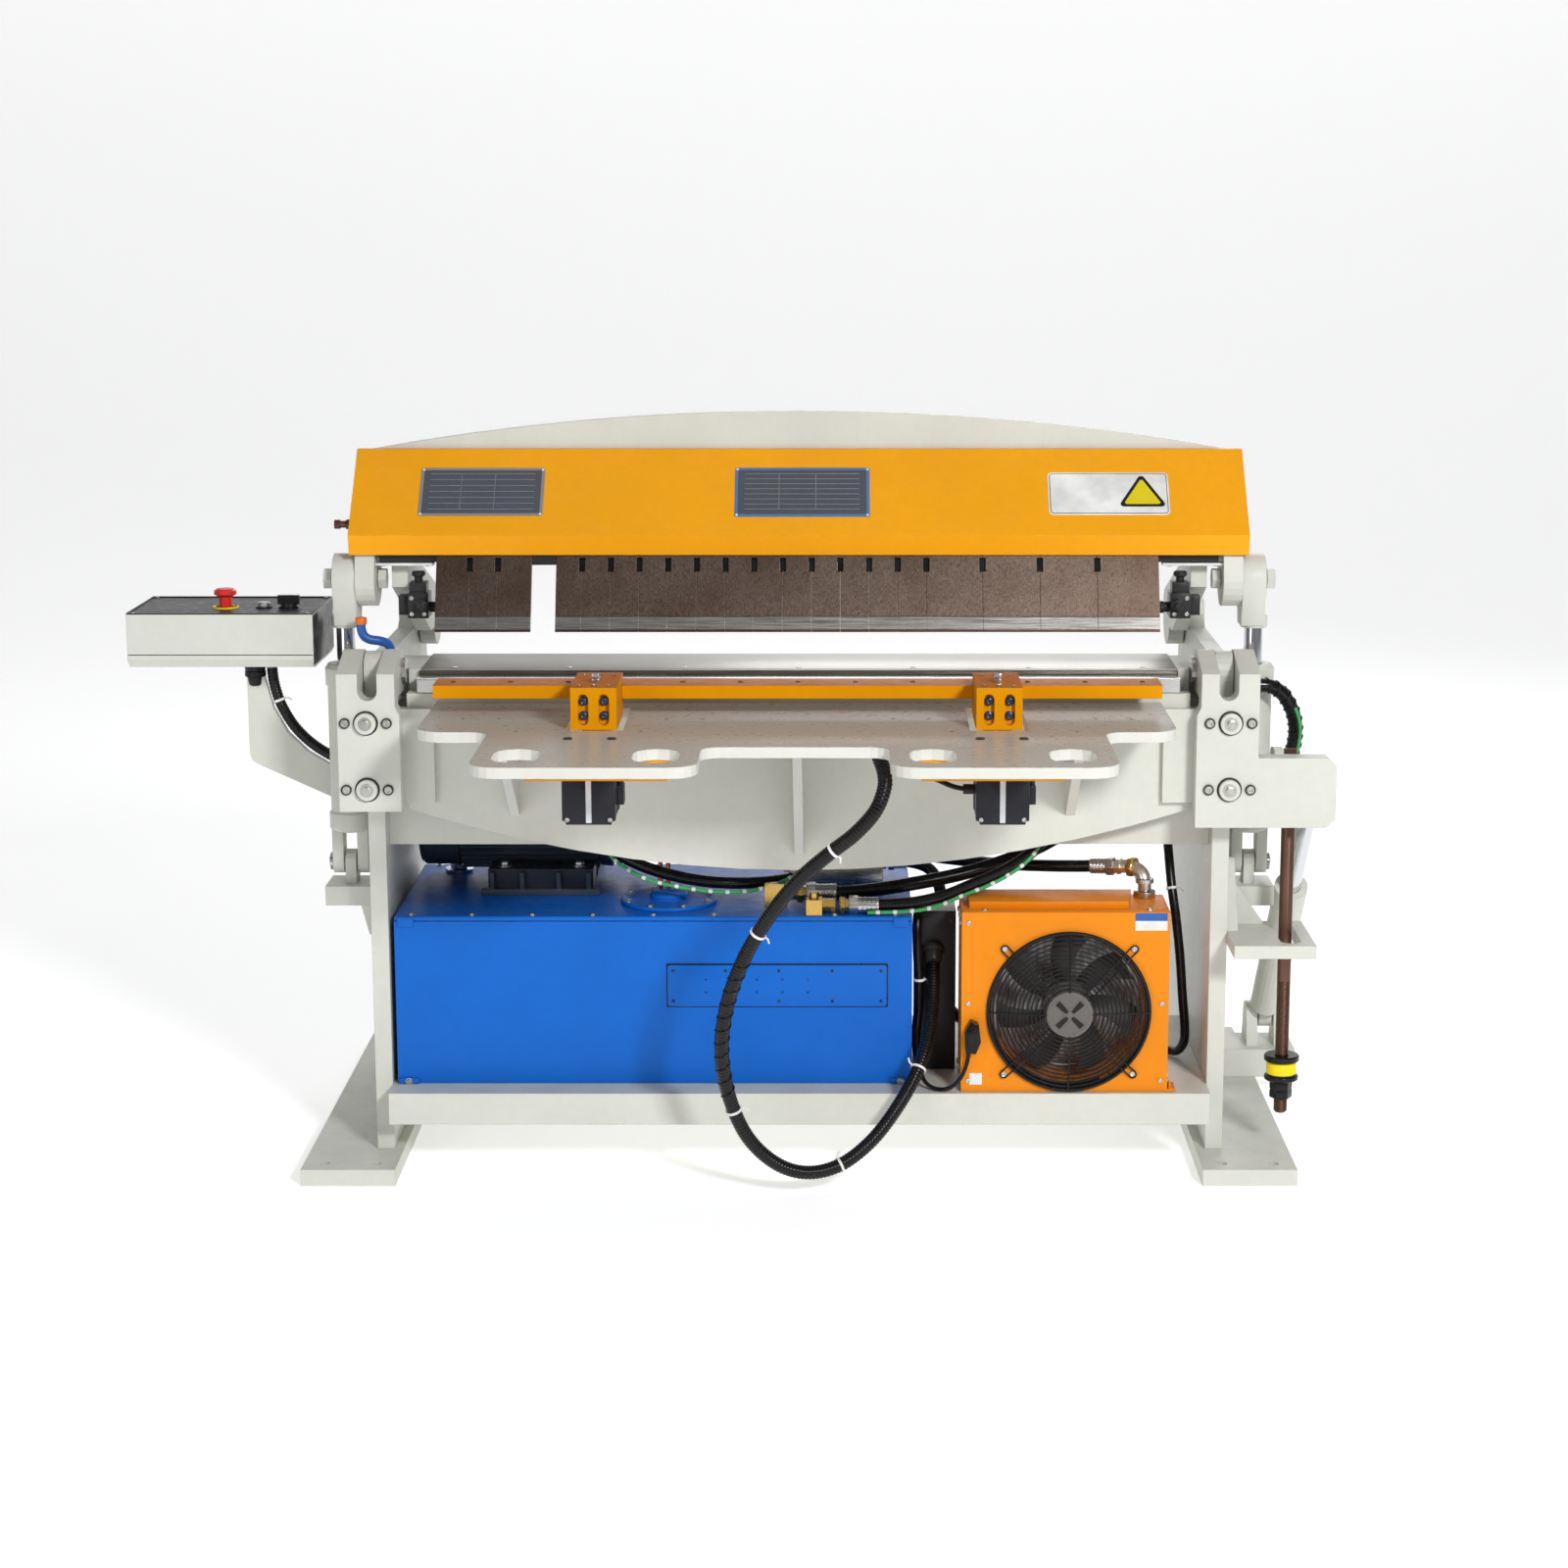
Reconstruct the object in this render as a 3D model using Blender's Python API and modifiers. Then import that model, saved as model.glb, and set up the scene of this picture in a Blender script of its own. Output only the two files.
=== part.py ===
"""Hydraulic swing-beam folding press for sheet metal, 1.26 m between the side frames.

Machine coordinates: X to the right, Y to the rear, Z up from the floor, in metres.
X = 0 is the middle of the machine, Y = 0 is the bending line at the front edge of the bed.
Every piece hangs under one empty, which moves that origin to the middle of the footprint.
"""
from math import acos, cos, degrees, pi, radians, sin

import bmesh
import bpy
from mathutils import Matrix, Vector

# ---------------------------------------------------------------- driving dimensions
GAP = 0.0003                      # between pieces that touch
ORIGIN_SHIFT = (0.1155, -0.0665, 0.0)

BED_Z = 0.888                     # top of the bed, height of the bending axis
FRAME_IN = 0.722                  # inner face of a side frame
FRAME_OUT = 0.752
FRAME_FRONT = -0.030
PIVOT_Y, PIVOT_Z = 0.500, 0.920   # clamp beam pivot
BEAM_HALF = 0.677                 # half length of the bending beam

FOOT_IN, FOOT_OUT = 0.705, 0.870
FOOT_FRONT, FOOT_REAR = -0.150, 0.780
FOOT_THICK = 0.030

TRAY_FRONT, TRAY_REAR = -0.089, 0.432
TRAY_LOW, TRAY_HIGH = 0.093, 0.1497

TANK_LEFT, TANK_RIGHT = -0.713, 0.199
TANK_FRONT, TANK_REAR = -0.026, 0.400
TANK_LOW, TANK_HIGH = 0.150, 0.445
LID_HIGH = 0.454

COOLER_LEFT, COOLER_RIGHT = 0.284, 0.647
COOLER_FRONT, COOLER_REAR = -0.078, 0.060
COOLER_LOW, COOLER_HIGH = 0.150, 0.474
FAN_X, FAN_Z = 0.469, 0.296
DUCT_RADIUS = 0.138

CLAMP_CYL_X, CLAMP_CYL_Y = 0.802, 0.100
CLAMP_CYL_LOW, CLAMP_CYL_TOP = 0.527, 1.036
CLAMP_BARREL_R, CLAMP_ROD_R = 0.038, 0.016

TABLE_LOW, TABLE_HIGH = 0.821, 0.839
TABLE_HALF = 0.626
TABLE_BACK, TABLE_SIDE, TABLE_MIDDLE, TABLE_LOBE = -0.046, -0.337, -0.472, -0.647
GAUGE_X = 0.333
SCREW_Z = 0.7507

ARM_PIN_X, ARM_PIN_Y, ARM_PIN_Z = 0.854, -0.030, 0.735     # stop rod eye
BEND_CYL_X = 0.892
BEND_PIN_Y, BEND_PIN_Z = -0.020, 0.663
BEND_BASE_Y, BEND_BASE_Z = 0.480, 0.140

BOX_LEFT, BOX_RIGHT = -1.176, -0.850
BOX_FRONT, BOX_REAR = 0.040, 0.265
RAIL_HALF = 0.613
BOX_LOW, BOX_HIGH = 0.885, 0.980
SWIVEL_X, SWIVEL_Y = -0.976, 0.165

SIDES = (("left", -1), ("right", 1))

# ---------------------------------------------------------------- scene and materials
for old in list(bpy.data.objects):
    bpy.data.objects.remove(old, do_unlink=True)

parts = bpy.data.collections.new("folding_press")
bpy.context.scene.collection.children.link(parts)


def material(name, color, roughness, metallic=0.0):
    mat = bpy.data.materials.new(name)
    mat.use_nodes = True
    shader = mat.node_tree.nodes["Principled BSDF"]
    shader.inputs["Base Color"].default_value = (*color, 1.0)
    shader.inputs["Roughness"].default_value = roughness
    shader.inputs["Metallic"].default_value = metallic
    return mat


GREY = material("grey_paint", (0.69, 0.69, 0.64), 0.45)
YELLOW = material("yellow_paint", (0.98, 0.48, 0.002), 0.40)
ORANGE = material("orange_paint", (1.0, 0.33, 0.01), 0.42)
BLUE = material("blue_paint", (0.0, 0.16, 0.63), 0.35)
SLATE = material("motor_paint", (0.05, 0.08, 0.11), 0.45)
STEEL = material("tool_steel", (0.26, 0.24, 0.21), 0.35, 1.0)
CHROME = material("chrome", (0.80, 0.80, 0.80), 0.12, 1.0)
BRIGHT = material("zinc_steel", (0.62, 0.61, 0.57), 0.35, 1.0)
BROWN = material("browned_steel", (0.15, 0.08, 0.06), 0.45, 0.8)
BLACK = material("black_plastic", (0.02, 0.02, 0.02), 0.50)
NAVY = material("motor_black", (0.025, 0.027, 0.04), 0.40)
RUBBER = material("black_rubber", (0.02, 0.02, 0.02), 0.60)
RED = material("red_plastic", (0.80, 0.04, 0.03), 0.35)
ALUMINIUM = material("aluminium", (0.60, 0.60, 0.60), 0.40, 1.0)

# ---------------------------------------------------------------- joint axes
origin = bpy.data.objects.new("machine_origin", None)
origin.location = ORIGIN_SHIFT
parts.objects.link(origin)

AXES = {
    "bending_beam": (0.0, 0.0, BED_Z),
    "clamp_beam": (0.0, PIVOT_Y, PIVOT_Z),
    "gauge": (0.0, -0.160, TABLE_HIGH),
    "left_clamp_barrel": (-CLAMP_CYL_X, CLAMP_CYL_Y, CLAMP_CYL_LOW),
    "right_clamp_barrel": (CLAMP_CYL_X, CLAMP_CYL_Y, CLAMP_CYL_LOW),
    "left_lead_screw": (-GAUGE_X, -0.200, SCREW_Z),
    "right_lead_screw": (GAUGE_X, -0.200, SCREW_Z),
    "stop_rod": (ARM_PIN_X, ARM_PIN_Y, ARM_PIN_Z),
    "bend_barrel": (BEND_CYL_X, BEND_BASE_Y, BEND_BASE_Z),
    "fan": (FAN_X, COOLER_FRONT, FAN_Z),
    "control_box": (SWIVEL_X, SWIVEL_Y, BOX_LOW),
}
empties = {}
for axis_name, axis_place in AXES.items():
    empty = bpy.data.objects.new("axis_" + axis_name, None)
    empty.location = axis_place
    empty.parent = origin
    parts.objects.link(empty)
    empties[axis_name] = empty


# ---------------------------------------------------------------- shape helpers
def evaluated_mesh(shape):
    """Mesh of an object with its modifiers, welded, with the object removed."""
    graph = bpy.context.evaluated_depsgraph_get()
    graph.update()
    mesh = bpy.data.meshes.new_from_object(shape.evaluated_get(graph))
    mesh.transform(shape.matrix_basis)
    bpy.data.objects.remove(shape, do_unlink=True)
    work = bmesh.new()
    work.from_mesh(mesh)
    bmesh.ops.remove_doubles(work, verts=work.verts, dist=0.00001)
    bmesh.ops.recalc_face_normals(work, faces=work.faces)
    work.to_mesh(mesh)
    work.free()
    return mesh


def shown(name, data):
    shape = bpy.data.objects.new(name, data)
    bpy.context.scene.collection.objects.link(shape)
    return shape


def block(x, y, z):
    """A box between the two values of each pair."""
    work = bmesh.new()
    bmesh.ops.create_cube(work, size=1.0)
    size = Matrix.Diagonal((x[1] - x[0], y[1] - y[0], z[1] - z[0], 1.0))
    middle = Matrix.Translation(((x[0] + x[1]) / 2, (y[0] + y[1]) / 2, (z[0] + z[1]) / 2))
    bmesh.ops.transform(work, matrix=middle @ size, verts=work.verts)
    mesh = bpy.data.meshes.new("block")
    work.to_mesh(mesh)
    work.free()
    return mesh


TURN = {
    "X": Matrix.Rotation(pi / 2, 4, "Y"),
    "Y": Matrix.Rotation(-pi / 2, 4, "X"),
    "Z": Matrix.Identity(4),
}


def rod(centre, radius, length, axis, sides=20):
    """A cylinder about its centre, along one axis."""
    work = bmesh.new()
    bmesh.ops.create_cone(work, cap_ends=True, segments=sides, radius1=radius, radius2=radius, depth=length)
    bmesh.ops.transform(work, matrix=Matrix.Translation(centre) @ TURN[axis], verts=work.verts)
    mesh = bpy.data.meshes.new("rod")
    work.to_mesh(mesh)
    work.free()
    return mesh


def plate(loops, span, axis):
    """Flat plate: closed loops (outline, then holes), between span[0] and span[1] along axis.

    Loop points are (y, z) for axis X, (x, z) for axis Y and (x, y) for axis Z.
    """
    curve = bpy.data.curves.new("outline", "CURVE")
    curve.dimensions = "2D"
    curve.fill_mode = "BOTH"
    curve.extrude = (span[1] - span[0]) / 2
    for loop in loops:
        spline = curve.splines.new("POLY")
        spline.points.add(len(loop) - 1)
        for point, (a, b) in zip(spline.points, loop):
            point.co = (a, b, 0.0, 1.0)
        spline.use_cyclic_u = True
    shape = shown("outline", curve)
    middle = (span[0] + span[1]) / 2
    stand = {
        "X": Matrix(((0, 0, 1, middle), (1, 0, 0, 0), (0, 1, 0, 0), (0, 0, 0, 1))),
        "Y": Matrix(((1, 0, 0, 0), (0, 0, -1, middle), (0, 1, 0, 0), (0, 0, 0, 1))),
        "Z": Matrix.Translation((0, 0, middle)),
    }[axis]
    shape.matrix_basis = stand
    return evaluated_mesh(shape)


def arc(a, b, radius, start, stop, steps):
    """Points on an arc about (a, b), angles in degrees."""
    turn = [radians(start + (stop - start) * i / steps) for i in range(steps + 1)]
    return [(a + radius * cos(t), b + radius * sin(t)) for t in turn]


def circle(a, b, radius, steps=16):
    return arc(a, b, radius, 0, 360 - 360 / steps, steps - 1)


def oblong(a, b, half_a, half_b, steps=6):
    """Slot with round ends, longer along the second coordinate."""
    top = arc(a, b + half_b - half_a, half_a, 0, 180, steps)
    bottom = arc(a, b - half_b + half_a, half_a, 180, 360, steps)
    return top + bottom


def turned(profile, centre, axis, steps=24):
    """Solid of revolution: profile of (radius, height) from the top down."""
    mesh = bpy.data.meshes.new("profile")
    mesh.from_pydata([(r, 0.0, h) for r, h in profile], [(i, i + 1) for i in range(len(profile) - 1)], [])
    shape = shown("profile", mesh)
    screw = shape.modifiers.new("turn", "SCREW")
    screw.steps = steps
    screw.render_steps = steps
    screw.use_merge_vertices = True
    screw.merge_threshold = 0.00001
    shape.matrix_basis = Matrix.Translation(centre) @ TURN[axis]
    return evaluated_mesh(shape)


def combine(operation, first, others):
    """Boolean of meshes: UNION joins the others to the first, DIFFERENCE cuts them out."""
    body = shown("body", first)
    helpers = []
    for other in others:
        helper = shown("helper", other)
        helper.hide_render = True
        helper.display_type = "WIRE"
        helpers.append(helper)
        step = body.modifiers.new(operation.lower(), "BOOLEAN")
        step.operation = operation
        step.solver = "EXACT"
        step.object = helper
    mesh = evaluated_mesh(body)
    for helper in helpers:
        bpy.data.objects.remove(helper, do_unlink=True)
    return mesh


def join(first, *others):
    return combine("UNION", first, others)


def cut(first, *others):
    return combine("DIFFERENCE", first, others)


def smooth_route(points, spacing):
    """Points about one spacing apart on a smooth curve through the route points."""
    ends = [points[0] * 2 - points[1]] + points + [points[-1] * 2 - points[-2]]
    dense = []
    for i in range(1, len(ends) - 2):
        p0, p1, p2, p3 = ends[i - 1:i + 3]
        for k in range(24):
            t = k / 24
            dense.append(0.5 * (2 * p1 + (p2 - p0) * t + (2 * p0 - 5 * p1 + 4 * p2 - p3) * t ** 2
                                + (3 * p1 - p0 - 3 * p2 + p3) * t ** 3))
    dense.append(points[-1])
    total = sum((b - a).length for a, b in zip(dense, dense[1:]))
    count = max(2, round(total / spacing))
    route = [dense[0]]
    walked = 0.0
    for a, b in zip(dense, dense[1:]):
        step = (b - a).length
        while len(route) < count and walked + step >= total * len(route) / count:
            t = (total * len(route) / count - walked) / step
            route.append(a.lerp(b, t))
        walked += step
    route.append(dense[-1])
    return route


def hose(route, radius, spacing, resolution=2):
    """Tube along a smooth curve through the route points."""
    curve = bpy.data.curves.new("route", "CURVE")
    curve.dimensions = "3D"
    curve.bevel_depth = radius
    curve.bevel_resolution = resolution
    curve.use_fill_caps = True
    points = smooth_route([Vector(p) for p in route], spacing)
    spline = curve.splines.new("POLY")
    spline.points.add(len(points) - 1)
    for target, place in zip(spline.points, points):
        target.co = (*place, 1.0)
    return evaluated_mesh(shown("route", curve))


def mirrored(mesh, side):
    """The mesh for the right side (side = 1), or its mirror image for the left side."""
    if side > 0:
        return mesh
    mesh.transform(Matrix.Diagonal((-1, 1, 1, 1)))
    mesh.flip_normals()
    return mesh


def piece(name, mesh, mat, body=None, bevel=0.0, smooth=False):
    """Object from a mesh in machine coordinates, with its origin on its joint axis."""
    axis_place = Vector(AXES[body]) if body else Vector((0.0, 0.0, 0.0))
    mesh.name = name
    mesh.transform(Matrix.Translation(-axis_place))
    mesh.materials.clear()
    mesh.materials.append(mat)
    shape = bpy.data.objects.new(name, mesh)
    shape.parent = empties[body] if body else origin
    parts.objects.link(shape)
    if bevel:
        edge = shape.modifiers.new("edges", "BEVEL")
        edge.width = bevel
        edge.segments = 1
        edge.limit_method = "ANGLE"
        edge.angle_limit = radians(60)
    if smooth:
        mesh.shade_smooth()
        mesh.set_sharp_from_angle(angle=radians(35))
    return shape


# ---------------------------------------------------------------- fixed frame
def frame():
    for name, side in SIDES:
        x = sorted((side * FOOT_IN, side * FOOT_OUT))
        holes = [circle((x[0] + x[1]) / 2 + dx, y, 0.009, 10)
                 for dx in (-0.045, 0.045) for y in (FOOT_FRONT + 0.035, FOOT_REAR - 0.035)]
        outline = [(x[0], FOOT_FRONT), (x[1], FOOT_FRONT), (x[1], FOOT_REAR), (x[0], FOOT_REAR)]
        piece(name + "_foot", plate([outline] + holes, (0.0, FOOT_THICK), "Z"), GREY)

        side_outline = [(FRAME_FRONT, FOOT_THICK + GAP), (0.610, FOOT_THICK + GAP), (0.610, 0.600)]
        side_outline += arc(PIVOT_Y, PIVOT_Z, 0.065, -10, 175, 10)
        side_outline += [(0.400, 0.905), (0.060, 0.905)]
        side_outline += arc(0.0, BED_Z, 0.034, 30, 205, 10)
        side_outline += [(FRAME_FRONT, 0.862)]
        holes = [circle(0.0, BED_Z, 0.0148), circle(PIVOT_Y, PIVOT_Z, 0.0268, 20)]
        span = sorted((side * FRAME_IN, side * FRAME_OUT))
        piece(name + "_side_frame", plate([side_outline] + holes, span, "X"), GREY)

    width = (-FRAME_IN + GAP, FRAME_IN - GAP)
    skirt = 0.012
    tray = [(TRAY_FRONT, TRAY_LOW), (TRAY_FRONT + skirt, TRAY_LOW), (TRAY_FRONT + skirt, TRAY_HIGH - skirt),
            (TRAY_REAR - skirt, TRAY_HIGH - skirt), (TRAY_REAR - skirt, TRAY_LOW), (TRAY_REAR, TRAY_LOW),
            (TRAY_REAR, TRAY_HIGH), (TRAY_FRONT, TRAY_HIGH)]
    piece("base_tray", plate([tray], width, "X"), GREY)

    web, rear, flange_low, flange_high = 0.040, 0.172, 0.576, 0.642
    bed = [(0.0125, flange_low), (rear, flange_low), (rear, flange_high), (web, flange_high),
           (web, 0.840), (rear, 0.840), (rear, BED_Z), (0.0125, BED_Z)]
    hinge_room = [block(sorted((side * 0.6800, side * 0.730)), (-0.010, 0.0392), (0.838, 0.900))
                  for _, side in SIDES]
    piece("bed_beam", cut(plate([bed], width, "X"), *hinge_room), GREY)
    piece("bed_blade", block((-0.660, 0.660), (0.0005, 0.0122), (0.850, BED_Z)), STEEL, bevel=0.0015)


def clamp_cylinders():
    """Each clamp cylinder: anchor on the side frame, barrel, rod with its eye, top pin."""
    pin_r, y, low, top = 0.012, CLAMP_CYL_Y, CLAMP_CYL_LOW, CLAMP_CYL_TOP
    for name, side in SIDES:
        x = CLAMP_CYL_X
        base = block((FRAME_OUT + GAP, 0.845), (y - 0.045, y + 0.045), (0.455, 0.490))
        gusset = plate([[(y - 0.045, 0.456), (y + 0.045, 0.456), (y + 0.045, 0.380)]],
                       (FRAME_OUT + GAP, FRAME_OUT + 0.030), "X")
        eye_outline = arc(y, low, 0.022, 0, 180, 8) + [(y - 0.022, 0.480), (y + 0.022, 0.480)]
        eye = plate([eye_outline], (x - 0.0095, x + 0.0095), "X")
        stub = rod((x, y, low), pin_r, 0.066, "X", 16)
        piece(name + "_cylinder_anchor", mirrored(join(base, gusset, eye, stub), side), GREY)

        barrel = turned([(0.0, 0.886), (0.033, 0.886), (CLAMP_BARREL_R, 0.880), (CLAMP_BARREL_R, 0.590),
                         (0.033, 0.584), (0.0, 0.584)], (x, y, 0.0), "Z", 24)
        bore = rod((x, y, 0.760), CLAMP_ROD_R + GAP, 0.270, "Z", 20)
        cheek_outline = arc(y, low, 0.021, 180, 360, 8) + [(y + 0.021, 0.590), (y - 0.021, 0.590)]
        cheeks = [plate([cheek_outline, circle(y, low, pin_r + GAP, 16)], (lo, hi), "X")
                  for lo, hi in ((x - 0.032, x - 0.0125), (x + 0.0125, x + 0.032))]
        body = name + "_clamp_barrel"
        piece(body, mirrored(cut(join(barrel, *cheeks), bore), side), GREY, body, smooth=True)

        shaft = rod((x, y, 0.830), CLAMP_ROD_R, 0.270, "Z", 20)
        head_outline = arc(y, top, 0.045, -20, 200, 12) + [(y - 0.026, 0.952), (y + 0.026, 0.952)]
        head = plate([head_outline, circle(y, top, pin_r + 0.0025, 16)], (x - 0.0255, x + 0.0155), "X")
        piece(name + "_clamp_rod", mirrored(join(shaft, head), side), CHROME, body, smooth=True)

        pin = join(rod((0.7815, y, top), pin_r, 0.085, "X", 16), rod((0.8295, y, top), 0.019, 0.014, "X", 6),
                   rod((0.7330, y, top), 0.019, 0.014, "X", 6))
        piece(name + "_clamp_pin", mirrored(pin, side), BRIGHT, "clamp_beam")


def oil_tank():
    wall = 0.006
    shell = block((TANK_LEFT, TANK_RIGHT), (TANK_FRONT, TANK_REAR), (TANK_LOW, TANK_HIGH))
    hollow = block((TANK_LEFT + wall, TANK_RIGHT - wall), (TANK_FRONT + wall, TANK_REAR - wall),
                   (TANK_LOW + wall, TANK_HIGH + wall))
    piece("oil_tank", cut(shell, hollow), BLUE)
    lid = block((TANK_LEFT, TANK_RIGHT), (TANK_FRONT, TANK_REAR), (TANK_HIGH + GAP, LID_HIGH))
    piece("tank_lid", lid, BLUE, bevel=0.002)


def power_pack():
    """Electric motor, pump and valve block on the tank."""
    motor_y, motor_z, radius = 0.290, 0.575, 0.100
    floor = LID_HIGH + GAP
    body = turned([(0.0, -0.320), (0.060, -0.320), (0.092, -0.345), (radius, -0.350), (radius, -0.630),
                   (0.094, -0.632), (0.094, -0.690), (0.070, -0.700), (0.0, -0.700)],
                  (0.0, motor_y, motor_z), "X", 28)
    piece("electric_motor", body, SLATE, smooth=True)
    cradle = [(0.150, floor), (0.430, floor), (0.430, 0.500), (0.362, 0.500), (0.362, 0.466), (0.218, 0.466),
              (0.218, 0.500), (0.150, 0.500)]
    piece("motor_foot", plate([cradle], (-0.565, -0.375), "X"), SLATE)
    pump = turned([(0.0, -0.060), (0.040, -0.060), (0.055, -0.075), (0.055, -0.180), (0.078, -0.200),
                   (0.095, -0.300), (0.095, -0.3147), (0.0, -0.3147)], (0.0, motor_y, motor_z), "X", 24)
    piece("hydraulic_pump", pump, SLATE, smooth=True)
    piece("valve_block", block((0.010, 0.150), (0.190, 0.330), (floor, 0.540)), BRIGHT, bevel=0.003)


def oil_cooler():
    shell = block((COOLER_LEFT, COOLER_RIGHT), (COOLER_FRONT, COOLER_REAR), (COOLER_LOW, COOLER_HIGH))
    duct = rod((FAN_X, 0.0, FAN_Z), DUCT_RADIUS, 0.400, "Y", 32)
    piece("cooler_housing", cut(shell, duct), ORANGE)
    core = block((COOLER_LEFT + 0.012, COOLER_RIGHT - 0.012), (COOLER_REAR + GAP, 0.120),
                 (COOLER_LOW + 0.012, COOLER_HIGH - 0.012))
    piece("cooler_core", core, ALUMINIUM)

    rings = [(0.046, 0.072), (0.080, 0.104), (0.112, 0.136)]
    loops = [circle(FAN_X, FAN_Z, 0.145, 32)]
    for inner, outer in rings:
        for quarter in range(4):
            start, stop = quarter * 90 + 6, quarter * 90 + 84
            loops.append(arc(FAN_X, FAN_Z, inner, start, stop, 5) + arc(FAN_X, FAN_Z, outer, stop, start, 6))
    guard_plane = plate(loops, (COOLER_FRONT - 0.0065, COOLER_FRONT - GAP), "Y")
    stator = rod((FAN_X, COOLER_FRONT + 0.017, FAN_Z), 0.038, 0.040, "Y", 24)
    piece("fan_guard", join(guard_plane, stator), BLACK)

    hub_front, hub_rear = COOLER_FRONT + 0.0375, COOLER_FRONT + 0.070
    hub = rod((FAN_X, (hub_front + hub_rear) / 2, FAN_Z), 0.045, hub_rear - hub_front, "Y", 24)
    blades = []
    blade_count = 7
    for i in range(blade_count):
        blade = block((0.0415, 0.130), (-0.0015, 0.0015), (-0.028, 0.028))
        pitch = Matrix.Rotation(radians(62), 4, "X")
        around = Matrix.Rotation(2 * pi * i / blade_count, 4, "Y")
        blade.transform(Matrix.Translation((FAN_X, (hub_front + hub_rear) / 2, FAN_Z)) @ around @ pitch)
        blades.append(blade)
    piece("fan_rotor", join(hub, *blades), BLACK, "fan")


# ---------------------------------------------------------------- clamp beam
def clamp_beam():
    end = 0.7815
    section = [(0.060, 1.0885), (0.1995, 1.0885), (0.1995, 1.242), (0.184, 1.242), (0.060, 1.118)]
    beam = plate([section], (-end, end), "X")
    extras = []
    for name, side in SIDES:
        lug_outline = arc(CLAMP_CYL_Y, CLAMP_CYL_TOP, 0.0485, 180, 360, 12)
        lug_outline += [(CLAMP_CYL_Y + 0.0485, 1.095), (CLAMP_CYL_Y - 0.035, 1.095)]
        hole = circle(CLAMP_CYL_Y, CLAMP_CYL_TOP, 0.012 + GAP, 16)
        extras.append(mirrored(plate([lug_outline, hole], (0.742, 0.7762), "X"), side))
        arm_outline = [(0.105, 1.100), (0.105, 1.020), (0.400, 0.900)]
        arm_outline += arc(PIVOT_Y, PIVOT_Z, 0.060, 200, 400, 12)
        arm_outline += [(0.235, 1.055), (0.195, 1.056), (0.190, 1.150)]
        extras.append(mirrored(plate([arm_outline], (0.690, 0.7182), "X"), side))
        trunnion = rod((0.730, PIVOT_Y, PIVOT_Z), 0.025, 0.060, "X", 20)
        extras.append(mirrored(trunnion, side))
    piece("clamp_beam", join(beam, *extras), GREY, "clamp_beam")

    cover_end, sheet = 0.785, 0.003
    outer = [(0.052, 1.083), (0.1995, 1.083), (0.1995, 1.256), (0.185, 1.256), (0.046, 1.118)]
    inner = [(0.0552, 1.060), (0.230, 1.060), (0.230, 1.2527), (0.1863, 1.2527), (0.0493, 1.1165)]
    cover = cut(plate([outer], (-cover_end, cover_end), "X"),
                plate([inner], (-cover_end + sheet, cover_end - sheet), "X"))
    piece("top_cover", cover, YELLOW, "clamp_beam")

    half, low, end_top, rise = 0.775, 1.060, 1.252, 0.070
    radius = (half ** 2 + rise ** 2) / (2 * rise)
    lean = degrees(acos(half / radius))
    crown = arc(0.0, end_top + rise - radius, radius, lean, 180 - lean, 16)
    arch = plate([[(-half, low), (half, low)] + crown], (0.2000, 0.2200), "Y")
    piece("rear_arch_plate", arch, GREY, "clamp_beam")

    fingers("left_fingers", [-0.6325, -0.5740, -0.5248, -0.4659])
    narrow = [-0.378 + 0.050 * i for i in range(13)]
    wide = [0.320, 0.420, 0.520, 0.6274]
    fingers("right_fingers", [-0.4234] + narrow + wide)
    bar = block((-0.735, 0.735), (0.0745, 0.0940), (1.068, 1.0880))
    section = [(0.0484, 1.066), (0.0760, 1.066), (0.0760, 1.088), (0.0580, 1.088)]
    spacer = plate([section], (-0.4655, -0.4238), "X")
    piece("finger_clamp_bar", join(bar, spacer), BRIGHT, "clamp_beam")


def fingers(name, seams):
    """A row of clamping fingers, with a slot at the head of each seam."""
    section = [(0.0, 0.955), (0.0125, 0.955), (0.0740, 1.088), (0.0580, 1.088)]
    row = plate([section], (seams[0], seams[-1]), "X")
    cutters = []
    for x in seams[1:-1]:
        cutters.append(block((x - 0.005, x + 0.005), (0.030, 0.100), (1.055, 1.078)))
    piece(name, cut(row, *cutters), STEEL, "clamp_beam")


# ---------------------------------------------------------------- bending beam
def bending_beam():
    crown, ends = 0.542, 0.650
    steps = 14
    bow = []
    for i in range(steps + 1):
        x = -BEAM_HALF + 2 * BEAM_HALF * i / steps
        bow.append((x, crown + (ends - crown) * (x / BEAM_HALF) ** 2))
    front = plate([bow + [(BEAM_HALF, 0.8547), (-BEAM_HALF, 0.8547)]], (-0.045, -0.015), "Y")
    ribs = []
    for x, low in ((-0.494, 0.640), (0.0, 0.570), (0.472, 0.640)):
        outline = [(-0.030, low), (-0.046, low), (-0.300, 0.8207), (-0.030, 0.8207)]
        ribs.append(plate([outline], (x - 0.008, x + 0.008), "X"))
    ends_flange = [block(sorted((side * 0.630, side * 0.788)), (-0.0597, -0.034), (0.665, 0.830))
                   for _, side in SIDES]
    piece("bending_beam", join(front, *ribs, *ends_flange), GREY, "bending_beam")
    piece("bending_blade", block((-0.660, 0.660), (-0.0447, -0.0030), (0.8550, 0.8795)), BRIGHT,
          "bending_beam", bevel=0.0015)
    for name, side in SIDES:
        hinge_plate(name, side)


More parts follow.
